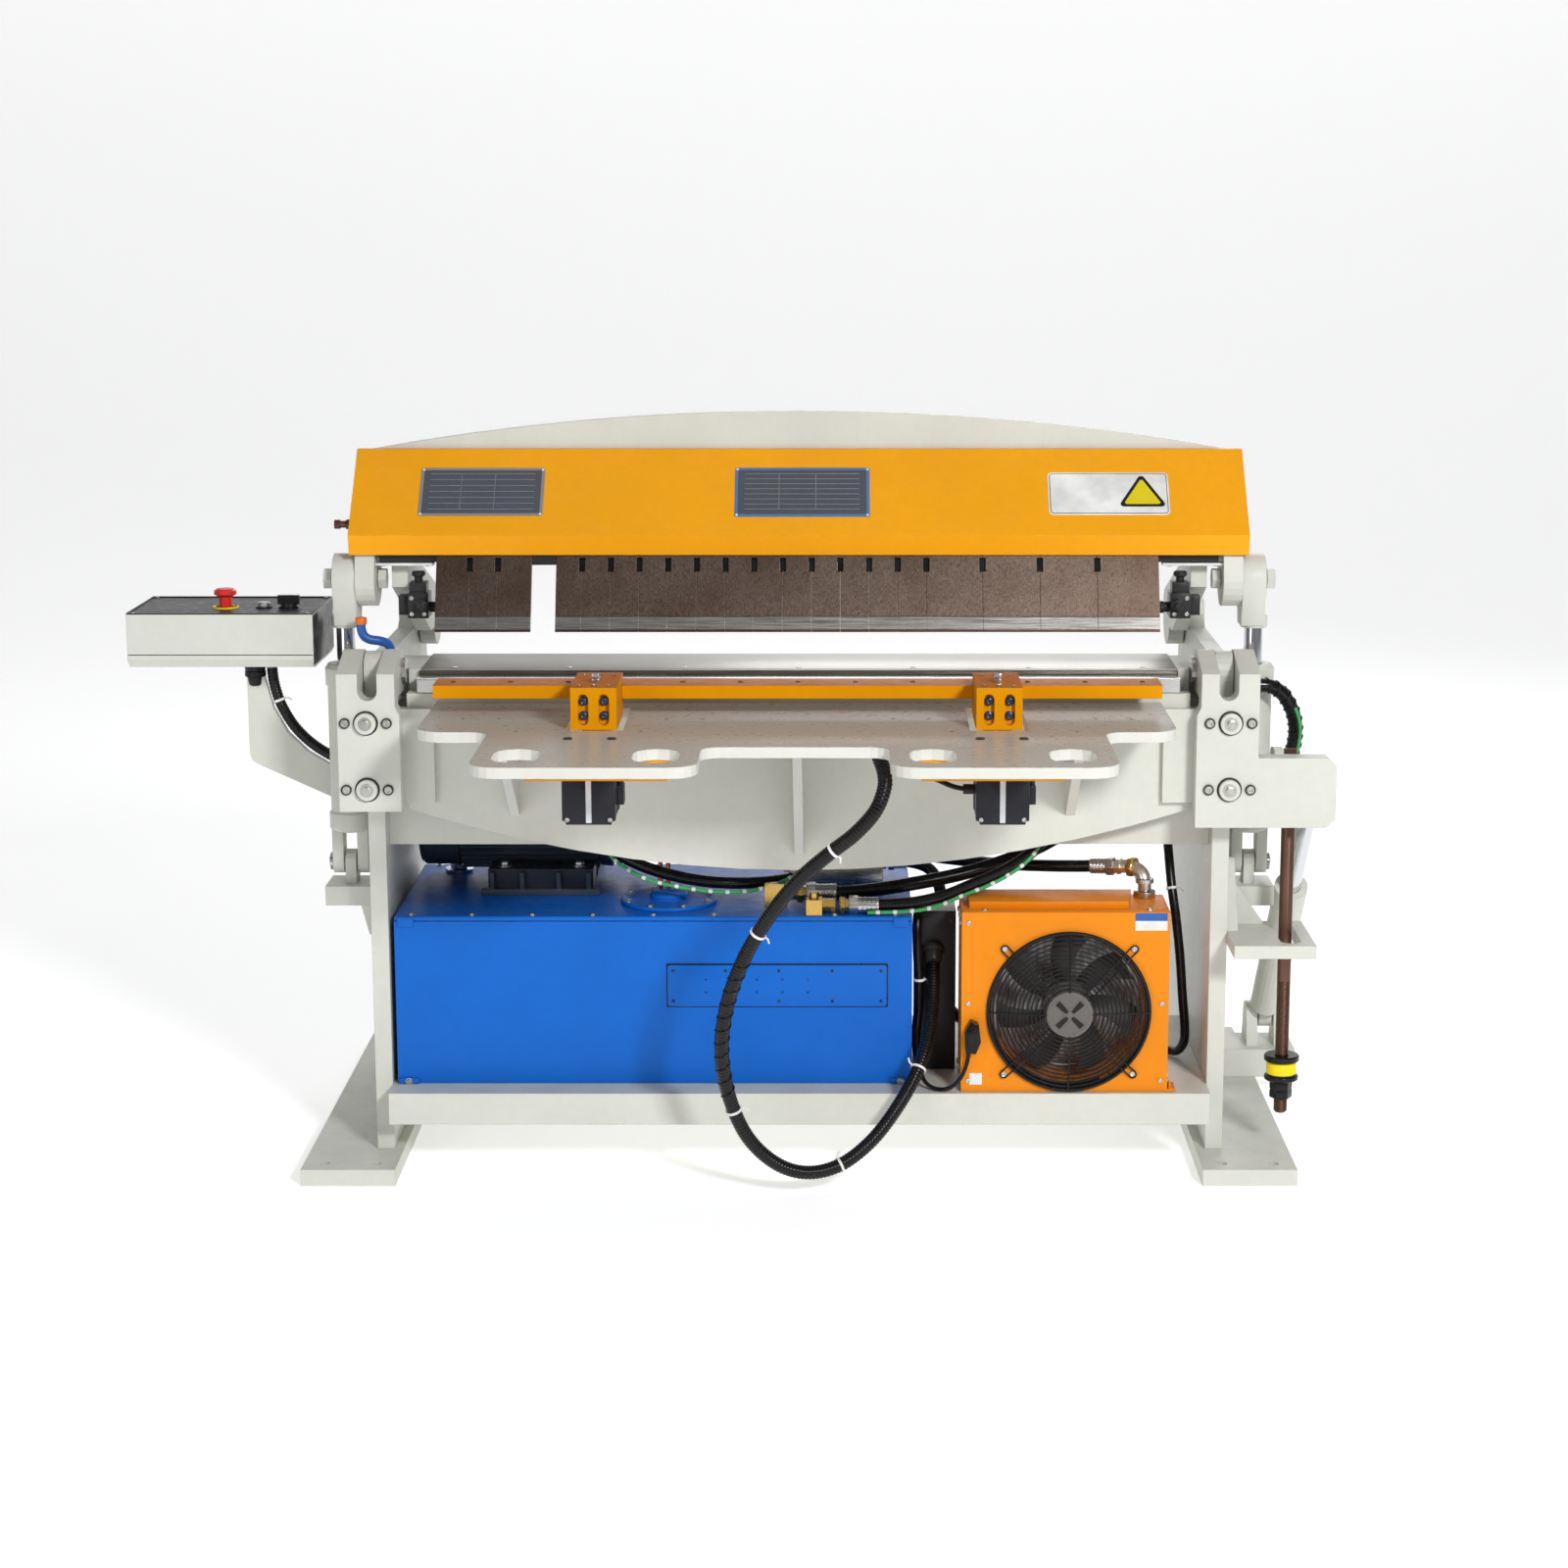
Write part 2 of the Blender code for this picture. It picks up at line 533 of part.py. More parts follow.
def hinge_plate(name, side):
    """Plate with two knuckles about the bending axis; the right one carries the drive arm."""
    back, front = -0.0600, -0.1000
    inner, outer, notch = (0.690, 0.7205), (0.7537, 0.790), 0.851
    if side > 0:
        outline = [(0.683, 0.629), (0.910, 0.629), (0.925, 0.644), (0.925, 0.736), (0.910, 0.751),
                   (outer[1], 0.751), (outer[1], 0.870), (outer[0], 0.870)]
    else:
        outline = [(0.683, 0.657), (outer[1], 0.657), (outer[1], 0.870), (outer[0], 0.870)]
    outline += arc((inner[1] + outer[0]) / 2, notch + 0.016, (outer[0] - inner[1]) / 2, 0, -180, 8)
    outline += [(inner[1], 0.870), (inner[0], 0.870), (inner[0], 0.840), (0.683, 0.825)]
    solid = plate([outline], (front, back), "Y")
    knuckles = []
    for lo, hi in (inner, outer):
        profile = arc(0.0, BED_Z, 0.037, -90, 100, 12) + [(front, 0.897), (front, 0.869), (back, 0.851)]
        knuckles.append(plate([profile, circle(0.0, BED_Z, 0.0143)], (lo, hi), "X"))
    extras = list(knuckles)
    if side > 0:
        for lo, hi, y, z, reach in ((0.822, 0.838, ARM_PIN_Y, ARM_PIN_Z, 0.024),
                                    (0.9035, 0.9195, BEND_PIN_Y, BEND_PIN_Z, 0.026)):
            lug = arc(y, z, reach, -90, 90, 8) + [(back - 0.005, z + reach), (back - 0.005, z - reach)]
            extras.append(plate([lug], (lo, hi), "X"))
        extras.append(rod((0.8525, ARM_PIN_Y, ARM_PIN_Z), 0.009, 0.040, "X", 16))
        # The cylinder's pin stops short of its eye: the eye's path over the swing is only close to the pin's.
        extras.append(rod((0.9112, BEND_PIN_Y, BEND_PIN_Z), 0.012, 0.0180, "X", 16))
    bolts = []
    for x, big in ((0.705, False), (0.741, True), (0.777, False)):
        for z in (0.696, 0.812):
            radius, height = (0.016, 0.010) if big else (0.008, 0.004)
            bolts.append(rod((x, front - height / 2 + 0.001, z), radius, height + 0.002, "Y", 12))
    piece(name + "_hinge_plate", mirrored(join(solid, *extras, *bolts), side), GREY, "bending_beam")
    head = rod((0.6860, 0.0, BED_Z), 0.022, 0.0074, "X", 16)
    pin = join(rod((0.7370, 0.0, BED_Z), 0.014, 0.108, "X", 16), head)
    piece(name + "_hinge_pin", mirrored(pin, side), BRIGHT, "bending_beam")


def support_table():
    lobe_in, lobe_out, corner = 0.150, 0.505, 0.045
    half = [(TABLE_HALF, TABLE_BACK)]
    half += arc(TABLE_HALF - corner, TABLE_SIDE + corner, corner, 0, -90, 5)
    half += arc(lobe_out + 0.030, TABLE_SIDE - 0.030, 0.030, 90, 180, 4)
    half += arc(lobe_out - corner, TABLE_LOBE + corner, corner, 0, -90, 5)
    half += arc(lobe_in + corner, TABLE_LOBE + corner, corner, -90, -180, 5)
    half += arc(lobe_in - 0.030, TABLE_MIDDLE - 0.030, 0.030, 0, 90, 4)
    outline = half + [(-x, y) for x, y in reversed(half)]
    loops = [outline]
    for side in (-1, 1):
        for x in (0.218, 0.438):
            loops.append([(x * side + a, -0.548 + b) for a, b in oblong(0, 0, 0.037, 0.060)])
        x0, x1 = side * GAUGE_X - 0.048, side * GAUGE_X + 0.048
        loops.append([(x0, -0.323), (x1, -0.323), (x1, -0.098), (x0, -0.098)])
    piece("support_table", plate(loops, (TABLE_LOW, TABLE_HIGH), "Z"), GREY, "bending_beam")


def gauge():
    """Back-gauge rail on two blocks, each driven by a screw and a stepper motor."""
    front, rear, top = -0.320, -0.157, 0.9096
    rail_front, rail_rear = -0.190, -0.110
    base = TABLE_HIGH + 0.0005
    rail = block((-RAIL_HALF, RAIL_HALF), (rail_front, rail_rear), (0.870, 0.892))
    notches = [block((s * GAUGE_X - 0.0383, s * GAUGE_X + 0.0383), (-0.300, rear + GAP), (0.800, 1.000))
               for s in (-1, 1)]
    piece("gauge_rail", cut(rail, *notches), ORANGE, "gauge")
    for name, side in SIDES:
        x = side * GAUGE_X
        body = block((x - 0.038, x + 0.038), (front, rear), (base, top))
        stem = block((x - 0.022, x + 0.022), (front + 0.030, rear - 0.030), (0.7350, base + 0.010))
        bore = rod((x, -0.240, SCREW_Z), 0.0085, 0.300, "Y", 16)
        slots = [plate([oblong(x + dx, 0.873, 0.0085, 0.026, 5)], (front - 0.010, front + 0.012), "Y")
                 for dx in (-0.017, 0.017)]
        piece(name + "_gauge_block", cut(join(body, stem), bore, *slots), ORANGE, "gauge")

        face, notch = 0.043, 0.012
        outline = []
        for a, b, start in ((1, 1, 270), (-1, 1, 360), (-1, -1, 90), (1, -1, 180)):
            outline += arc(a * face, b * face, notch, start, start - 90, 3)
        motor = plate([[(x + a, SCREW_Z + b) for a, b in outline]], (-0.450, -0.340), "Y")
        hanger = block((x - 0.030, x + 0.030), (-0.440, -0.350), (0.790, TABLE_LOW - GAP))
        plug = block((x + 0.042, x + 0.060), (-0.440, -0.412), (0.742, 0.785))
        piece(name + "_stepper", join(motor, hanger, plug), NAVY, "bending_beam")
        piece(name + "_lead_screw", rod((x, -0.2225, SCREW_Z), 0.008, 0.234, "Y", 16), BRIGHT,
              name + "_lead_screw")


# ---------------------------------------------------------------- drive side
def stop_rod():
    """Travel stop: a threaded rod hung from the drive arm, through a slotted bracket."""
    x, y = ARM_PIN_X, ARM_PIN_Y
    shaft = rod((x, y, 0.409), 0.012, 0.620, "Z", 16)
    rings = [circle(y, ARM_PIN_Z, 0.021, 16), circle(y, ARM_PIN_Z, 0.0105, 16)]
    eye = plate(rings, (x - 0.010, x + 0.010), "X")
    collar = rod((x, y, 0.182), 0.031, 0.046, "Z", 24)
    nut = rod((x, y, 0.142), 0.019, 0.034, "Z", 6)
    piece("stop_rod", join(shaft, eye, collar, nut), BROWN, "stop_rod")

    low, high = 0.405, 0.428
    inner, outer = FRAME_OUT + GAP, 0.894
    slot = 0.018
    outline = [(inner, 0.050), (inner, -0.135), (outer, -0.135), (outer, 0.050), (x + slot, 0.050)]
    outline += arc(x, -0.098, slot, 0, -180, 8) + [(x - slot, 0.050)]
    shelf = plate([outline], (low, high), "Z")
    triangle = [(-0.028, high - 0.005), (0.050, high - 0.005), (0.050, 0.545)]
    gusset = plate([triangle], (inner, inner + 0.020), "X")
    web = plate([[(inner, high - 0.005), (0.828, high - 0.005), (inner, 0.530)]], (0.030, 0.042), "Y")
    piece("stop_bracket", join(shelf, gusset, web), GREY)


def bending_cylinder():
    base = Vector((0.0, BEND_BASE_Y, BEND_BASE_Z))
    tip = Vector((0.0, BEND_PIN_Y, BEND_PIN_Z))
    along = (tip - base).normalized()
    length = (tip - base).length
    tilt = along.to_track_quat("Z", "X").to_matrix().to_4x4()
    stand = Matrix.Translation((BEND_CYL_X, BEND_BASE_Y, BEND_BASE_Z)) @ tilt

    def placed(mesh):
        mesh.transform(stand)
        return mesh

    barrel = placed(rod((0, 0, 0.245), 0.030, 0.410, "Z", 24))
    foot = placed(rod((0, 0, 0.032), 0.0115, 0.064, "Z", 16))
    eye = rod((BEND_CYL_X, BEND_BASE_Y, BEND_BASE_Z), 0.024, 0.024, "X", 20)
    hole = rod((BEND_CYL_X, BEND_BASE_Y, BEND_BASE_Z), 0.0123, 0.100, "X", 16)
    bore = placed(rod((0, 0, 0.300), 0.0175 + GAP, 0.400, "Z", 20))
    piece("bend_barrel", cut(join(barrel, foot, eye), hole, bore), GREY, "bend_barrel", smooth=True)

    shaft_low = 0.118
    shaft_high = length - 0.036
    shaft = placed(rod((0, 0, (shaft_low + shaft_high) / 2), 0.0175, shaft_high - shaft_low, "Z", 20))
    neck = placed(block((-0.013, 0.013), (-0.009, 0.009), (length - 0.045, length - 0.018)))
    eye_out = rod((BEND_CYL_X, BEND_PIN_Y, BEND_PIN_Z), 0.026, 0.018, "X", 20)
    clear = rod((BEND_CYL_X, BEND_PIN_Y, BEND_PIN_Z), 0.0145, 0.100, "X", 16)
    piece("bend_rod", cut(join(shaft, neck, eye_out), clear), CHROME, "bend_barrel", smooth=True)

    z0 = FOOT_THICK + GAP
    foot_block = block((FRAME_OUT + GAP, 0.945), (0.420, 0.540), (z0, 0.085))
    ears = []
    for lo, hi in ((0.855, 0.8765), (0.9075, 0.929)):
        outline = arc(BEND_BASE_Y, BEND_BASE_Z, 0.026, 0, 180, 8) + [(0.440, 0.080), (0.520, 0.080)]
        ears.append(plate([outline], (lo, hi), "X"))
    pin = rod((BEND_CYL_X, BEND_BASE_Y, BEND_BASE_Z), 0.012, 0.070, "X", 16)
    piece("bend_cylinder_stand", join(foot_block, *ears, pin), GREY)


# ---------------------------------------------------------------- control box
def control():
    y = SWIVEL_Y
    outline = [(-0.990, 0.8618), (-0.990, 0.712), (-0.986, 0.700), (-0.975, 0.692), (-FRAME_OUT - GAP, 0.590),
               (-FRAME_OUT - GAP, 0.665), (-0.840, 0.688), (-0.885, 0.715), (-0.920, 0.750), (-0.945, 0.795),
               (-0.962, 0.8618)]
    piece("control_arm", plate([outline], (y - 0.008, y + 0.008), "Y"), GREY)
    profile = [(0.0, 0.0227), (0.032, 0.0227), (0.032, 0.014), (0.020, 0.010), (0.018, 0.0), (0.0, 0.0)]
    flange = turned(profile,
                    (SWIVEL_X, y, 0.8621), "Z", 20)
    piece("control_flange", flange, BLACK)

    section = [(BOX_FRONT, 0.900), (BOX_FRONT + 0.015, BOX_LOW + GAP), (BOX_REAR - 0.015, BOX_LOW + GAP),
               (BOX_REAR, 0.900), (BOX_REAR, BOX_HIGH), (BOX_FRONT, BOX_HIGH)]
    estop_x, start_x, button_y, top = -1.018, -0.950, 0.130, BOX_HIGH + GAP
    wells = [rod((estop_x, button_y, BOX_HIGH), 0.0113, 2 * 0.0070, "Z", 20),
             rod((start_x, button_y, BOX_HIGH), 0.0113, 2 * 0.0036, "Z", 16)]
    case = plate([section], (BOX_LEFT, BOX_RIGHT), "X")
    piece("control_box", cut(case, *wells), GREY, "control_box")
    stop = turned([(0.0, 0.034), (0.015, 0.034), (0.020, 0.030), (0.020, 0.024), (0.011, 0.019), (0.011, 0.0),
                   (0.0, 0.0)], (estop_x, button_y, top), "Z", 20)
    piece("estop_button", stop, RED, "control_box", smooth=True)
    dial = turned([(0.0, 0.008), (0.014, 0.008), (0.015, 0.0), (0.0, 0.0)], (-0.906, 0.130, top), "Z", 20)
    lever = block((-0.925, -0.887), (0.125, 0.135), (top + 0.006, top + 0.022))
    piece("selector_knob", join(dial, lever), BLACK, "control_box")
    start = turned([(0.0, 0.010), (0.010, 0.010), (0.011, 0.008), (0.011, 0.0), (0.0, 0.0)],
                   (start_x, button_y, top), "Z", 16)
    piece("start_button", start, ALUMINIUM, "control_box")


# ---------------------------------------------------------------- cables and hoses
CABLE_R = 0.0125
MAIN_CABLE = [
    (0.135, -0.400, 0.8080), (0.142, -0.418, 0.790), (0.143, -0.432, 0.765), (0.128, -0.440, 0.728),
    (0.095, -0.438, 0.690), (0.048, -0.425, 0.650), (0.000, -0.405, 0.602), (-0.048, -0.380, 0.535),
    (-0.090, -0.350, 0.455), (-0.118, -0.320, 0.370), (-0.128, -0.290, 0.285), (-0.118, -0.262, 0.200),
    (-0.088, -0.240, 0.120), (-0.040, -0.222, 0.066), (0.014, -0.208, 0.044), (0.072, -0.193, 0.053),
    (0.128, -0.173, 0.092), (0.176, -0.146, 0.150), (0.210, -0.110, 0.205), (0.228, -0.060, 0.250),
    (0.236, 0.000, 0.300), (0.238, 0.060, 0.360),
]
ARM_CABLE = [
    (-0.9460, 0.165, 0.8680), (-0.9440, 0.165, 0.8450), (-0.9385, 0.165, 0.8200), (-0.9290, 0.165, 0.7940),
    (-0.9080, 0.165, 0.7590), (-0.8760, 0.165, 0.7270), (-0.8340, 0.165, 0.7015), (-0.7900, 0.165, 0.6870),
    (-0.7550, 0.165, 0.6850),
]
PRESSURE_HOSE = [
    (0.1510, 0.240, 0.510), (0.185, 0.240, 0.510), (0.235, 0.224, 0.508), (0.300, 0.186, 0.508),
    (0.370, 0.148, 0.510), (0.440, 0.117, 0.514), (0.500, 0.096, 0.518), (0.552, 0.080, 0.522),
    (0.586, 0.066, 0.523), (0.606, 0.050, 0.513), (0.612, 0.040, 0.492),
]
RETURN_HOSE = [
    (0.1510, 0.285, 0.485), (0.200, 0.285, 0.484), (0.240, 0.275, 0.470), (0.258, 0.255, 0.430),
    (0.258, 0.235, 0.360), (0.258, 0.218, 0.290), (0.264, 0.205, 0.240), (0.288, 0.188, 0.215),
    (0.318, 0.165, 0.207), (0.330, 0.145, 0.205), (0.330, 0.1215, 0.205),
]


def cables():
    piece("main_cable", hose(MAIN_CABLE, CABLE_R, 0.034, 2), RUBBER, smooth=True)
    piece("control_cable", hose(ARM_CABLE, 0.010, 0.028, 2), RUBBER, smooth=True)
    piece("pressure_hose", hose(PRESSURE_HOSE, 0.011, 0.030, 2), RUBBER, smooth=True)
    piece("return_hose", hose(RETURN_HOSE, 0.011, 0.030, 2), RUBBER, smooth=True)


frame()
clamp_cylinders()
oil_tank()
power_pack()
oil_cooler()
clamp_beam()
bending_beam()
support_table()
gauge()
stop_rod()
bending_cylinder()
control()
cables()
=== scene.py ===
"""Looks of a hydraulic folding press brake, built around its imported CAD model.

Places are given in machine coordinates: X along the machine from its middle, Y back from the bending line and
Z up from the floor, in metres. spot() turns them into the frame's own coordinates.
"""
from math import cos, degrees, pi, radians, sin

import bmesh
import bpy
from mathutils import Matrix, Vector


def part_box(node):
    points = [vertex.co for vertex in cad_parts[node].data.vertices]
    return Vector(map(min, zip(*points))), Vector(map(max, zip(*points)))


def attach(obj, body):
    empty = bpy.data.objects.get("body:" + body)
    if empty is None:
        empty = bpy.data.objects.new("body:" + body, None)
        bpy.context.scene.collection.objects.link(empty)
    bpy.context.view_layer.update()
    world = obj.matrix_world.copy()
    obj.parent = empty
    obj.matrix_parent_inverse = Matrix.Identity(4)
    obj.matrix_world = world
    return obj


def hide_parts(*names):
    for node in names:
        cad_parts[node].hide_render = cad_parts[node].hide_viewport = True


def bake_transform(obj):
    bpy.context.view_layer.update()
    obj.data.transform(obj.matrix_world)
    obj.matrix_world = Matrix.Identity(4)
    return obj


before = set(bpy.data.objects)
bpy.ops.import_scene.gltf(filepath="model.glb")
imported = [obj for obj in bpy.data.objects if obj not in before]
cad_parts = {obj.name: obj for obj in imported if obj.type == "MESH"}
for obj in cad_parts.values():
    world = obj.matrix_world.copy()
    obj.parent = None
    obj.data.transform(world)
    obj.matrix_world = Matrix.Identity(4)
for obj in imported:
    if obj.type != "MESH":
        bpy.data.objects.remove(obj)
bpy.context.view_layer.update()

PIN_LOW, PIN_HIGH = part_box("left_hinge_pin")
FAR_PIN_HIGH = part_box("right_hinge_pin")[1]
SHIFT = Vector(((PIN_LOW.x + FAR_PIN_HIGH.x) / 2, (PIN_LOW.y + PIN_HIGH.y) / 2, 0.0))


def spot(x, y, z):
    """A place in machine coordinates, in the frame's coordinates."""
    return Vector((x, y, z)) + SHIFT


def node_box(node):
    """A CAD node's lowest and highest corners in machine coordinates."""
    low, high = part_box(node)
    return low - SHIFT, high - SHIFT


# ---------------------------------------------------------------- camera, floor and light
def look_at(obj, target):
    """Turn a camera or light to face a point."""
    obj.rotation_euler = (Vector(target) - obj.location).to_track_quat("-Z", "Y").to_euler()


CAMERA_PLACE = (0.068, -5.39, 1.744)
CAMERA_DROP = 11.1


def camera():
    """The camera: in front of the machine, above it and looking down by CAMERA_DROP degrees."""
    data = bpy.data.cameras.new("camera")
    data.sensor_width = 36.0
    data.lens = 72.0
    data.shift_x = -0.0344
    data.clip_end = 60.0
    obj = bpy.data.objects.new("camera", data)
    obj.location = spot(*CAMERA_PLACE)
    obj.rotation_euler = (radians(90.0 - CAMERA_DROP), 0.0, 0.0)
    bpy.context.scene.collection.objects.link(obj)
    bpy.context.scene.camera = obj


def area_light(name, place, target, size, power, tint=(1.0, 1.0, 1.0)):
    """A soft square studio lamp."""
    data = bpy.data.lights.new(name, "AREA")
    data.shape = "RECTANGLE"
    data.size, data.size_y = size
    data.energy = power
    data.color = tint
    obj = bpy.data.objects.new(name, data)
    obj.location = spot(*place)
    bpy.context.scene.collection.objects.link(obj)
    look_at(obj, spot(*target))


def studio():
    """A pale floor that curves up into a pale wall, an even dim sky and four soft lamps."""
    work = bmesh.new()
    front, rear, curve, half, high = -9.0, 5.0, 3.0, 16.0, 9.0
    section = [(front, 0.0), (rear, 0.0)]
    for turn in range(10, 91, 10):
        angle = radians(turn)
        section.append((rear + curve * sin(angle), curve - curve * cos(angle)))
    section.append((rear + curve, high))
    rows = [[work.verts.new((x, y, z)) for y, z in section] for x in (-half, half)]
    for i in range(len(section) - 1):
        work.faces.new((rows[0][i], rows[1][i], rows[1][i + 1], rows[0][i + 1]))
    mesh = bpy.data.meshes.new("studio_floor")
    work.to_mesh(mesh)
    work.free()
    for face in mesh.polygons:
        face.use_smooth = True
    floor = bpy.data.objects.new("studio_floor", mesh)
    bpy.context.scene.collection.objects.link(floor)
    white = bpy.data.materials.new("studio_white")
    white.use_nodes = True
    shader = white.node_tree.nodes["Principled BSDF"]
    shader.inputs["Base Color"].default_value = (0.93, 0.93, 0.93, 1.0)
    shader.inputs["Roughness"].default_value = 0.75
    shader.inputs["Emission Color"].default_value = (1.0, 1.0, 1.0, 1.0)
    shader.inputs["Emission Strength"].default_value = 0.42
    mesh.materials.append(white)

    world = bpy.data.worlds.new("studio_sky")
    world.use_nodes = True
    sky = world.node_tree.nodes["Background"]
    sky.inputs["Color"].default_value = (0.97, 0.98, 1.0, 1.0)
    sky.inputs["Strength"].default_value = 0.2
    bpy.context.scene.world = world

    area_light("key_lamp", (2.4, -5.4, 3.5), (0.0, 0.0, 0.6), (0.9, 0.9), 270.0)
    area_light("fill_lamp", (-3.4, -4.8, 1.9), (-0.2, 0.0, 0.6), (2.4, 2.4), 40.0)
    area_light("top_lamp", (0.0, 0.4, 4.6), (0.0, 0.1, 0.6), (4.0, 3.0), 16.0)
    area_light("rear_lamp", (1.0, 4.4, 3.2), (0.0, 0.2, 0.8), (3.0, 2.4), 60.0)


camera()
studio()
bpy.context.scene.view_settings.view_transform = "Standard"


# ---------------------------------------------------------------- materials
def srgb(red, green, blue):
    """An sRGB colour, 0 to 255 each, as the linear colour that shaders take."""
    parts = []
    for value in (red / 255, green / 255, blue / 255):
        parts.append(value / 12.92 if value <= 0.04045 else ((value + 0.055) / 1.055) ** 2.4)
    return (*parts, 1.0)


def shade(colour, factor):
    """A colour made lighter or darker."""
    return (*(min(1.0, part * factor) for part in colour[:3]), 1.0)


class Nodes:
    """A short way to write a node tree."""

    def __init__(self, name):
        self.material = bpy.data.materials.new(name)
        self.material.use_nodes = True
        self.tree = self.material.node_tree
        self.shader = self.tree.nodes["Principled BSDF"]
        self.place = self.add("ShaderNodeTexCoord").outputs["Object"]

    def add(self, kind, **values):
        node = self.tree.nodes.new(kind)
        for key, value in values.items():
            setattr(node, key, value)
        return node

    def link(self, source, target):
        self.tree.links.new(source, target)

    def noise(self, scale, stretch=(1.0, 1.0, 1.0), detail=4.0, rough=0.55):
        """Noise over the surface, at so many features per metre, drawn out by stretch."""
        mapping = self.add("ShaderNodeMapping")
        mapping.inputs["Scale"].default_value = stretch
        self.link(self.place, mapping.inputs["Vector"])
        node = self.add("ShaderNodeTexNoise")
        node.inputs["Scale"].default_value = scale
        node.inputs["Detail"].default_value = detail
        node.inputs["Roughness"].default_value = rough
        self.link(mapping.outputs["Vector"], node.inputs["Vector"])
        return node.outputs["Fac"]

    def span(self, value, low, high, out_low, out_high):
        """Map low..high of a value to out_low..out_high."""
        node = self.add("ShaderNodeMapRange")
        for key, number in (("From Min", low), ("From Max", high), ("To Min", out_low),
                            ("To Max", out_high)):
            node.inputs[key].default_value = number
        self.link(value, node.inputs["Value"])
        return node.outputs["Result"]

    def math(self, kind, first, second):
        """Arithmetic on two values, either of which may be a number."""
        node = self.add("ShaderNodeMath", operation=kind)
        for socket, value in zip(node.inputs, (first, second)):
            if isinstance(value, (int, float)):
                socket.default_value = value
            else:
                self.link(value, socket)
        return node.outputs[0]

    def mix(self, factor, first, second, kind="MIX"):
        """Mix two colours, either of which may be a fixed one."""
        node = self.add("ShaderNodeMix", data_type="RGBA", blend_type=kind)
        for index, value in ((0, factor), (6, first), (7, second)):
            socket = node.inputs[index]
            if isinstance(value, (int, float, tuple)):
                socket.default_value = value
            else:
                self.link(value, socket)
        return node.outputs[2]

    def bump(self, height, distance, strength=1.0, under=None):
        """A bump from a height that runs from 0 to 1, distance metres high."""
        node = self.add("ShaderNodeBump")
        node.inputs["Distance"].default_value = distance
        node.inputs["Strength"].default_value = strength
        self.link(height, node.inputs["Height"])
        if under is not None:
            self.link(under, node.inputs["Normal"])
        return node.outputs["Normal"]

    def edges(self, radius):
        """(rounded normal, how much an edge it is), for an edge rounding of that radius."""
        bevel = self.add("ShaderNodeBevel", samples=4)
        bevel.inputs["Radius"].default_value = radius
        normal = bevel.outputs["Normal"]
        flat = self.add("ShaderNodeNewGeometry").outputs["Normal"]
        dot = self.add("ShaderNodeVectorMath", operation="DOT_PRODUCT")
        self.link(normal, dot.inputs[0])
        self.link(flat, dot.inputs[1])
        return normal, self.span(dot.outputs["Value"], 0.995, 0.86, 0.0, 1.0)


def paint(name, colour, rough=0.38, mottle=0.06, peel=0.00022, wear=0.35, coat=0.04, grime=0.3,
          primer=None, top=None,
          gloss=0.22):
    """Sprayed machine paint: orange peel, slow shade changes, dust on top faces and rubbed edges. A top
    colour, where given, is drawn on top faces; on the table and the gauge it is painted shade.
    """
    n = Nodes(name)
    broad = n.noise(5.0, detail=5.0)
    fine = n.noise(60.0, detail=3.0)
    tone = n.mix(n.span(broad, 0.3, 0.7, 0.0, 1.0), shade(colour, 1.0 - mottle),
                 shade(colour, 1.0 + mottle))
    tone = n.mix(n.span(fine, 0.35, 0.75, 0.0, 0.16), tone, shade(colour, 0.8))
    normal, edge = n.edges(0.0016)
    up = n.add("ShaderNodeSeparateXYZ")
    n.link(n.add("ShaderNodeNewGeometry").outputs["Normal"], up.inputs[0])
    # Top faces take the top colour: painted shade where the table and the gauge use it, their tops drawn
    # darker than their lit fronts.
    if top:
        tone = n.mix(n.span(up.outputs["Z"], 0.75, 0.95, 0.0, 1.0), tone, top)
    dust = n.math("MULTIPLY", n.span(up.outputs["Z"], 0.6, 1.0, 0.0, 1.0),
                  n.span(n.noise(14.0), 0.38, 0.72, 0.0, grime))
    tone = n.mix(dust, tone, srgb(150, 146, 138))
    streak = n.noise(9.0, stretch=(6.0, 6.0, 0.5), detail=5.0)
    tone = n.mix(n.span(streak, 0.6, 0.82, 0.0, grime * 0.6), tone, shade(colour, 0.62))
    rubbed = n.math("MULTIPLY", edge, n.span(n.noise(38.0, detail=6.0), 0.46, 0.64, 0.0, wear))
    tone = n.mix(rubbed, tone, primer or srgb(128, 124, 118))
    n.link(tone, n.shader.inputs["Base Color"])
    n.link(n.span(fine, 0.3, 0.7, rough - 0.05, rough + 0.08), n.shader.inputs["Roughness"])
    n.shader.inputs["Specular IOR Level"].default_value = gloss
    n.shader.inputs["Coat Weight"].default_value = coat
    n.shader.inputs["Coat Roughness"].default_value = 0.22
    n.link(n.bump(n.noise(420.0, detail=2.0), peel, 0.6, normal), n.shader.inputs["Normal"])
    return n.material


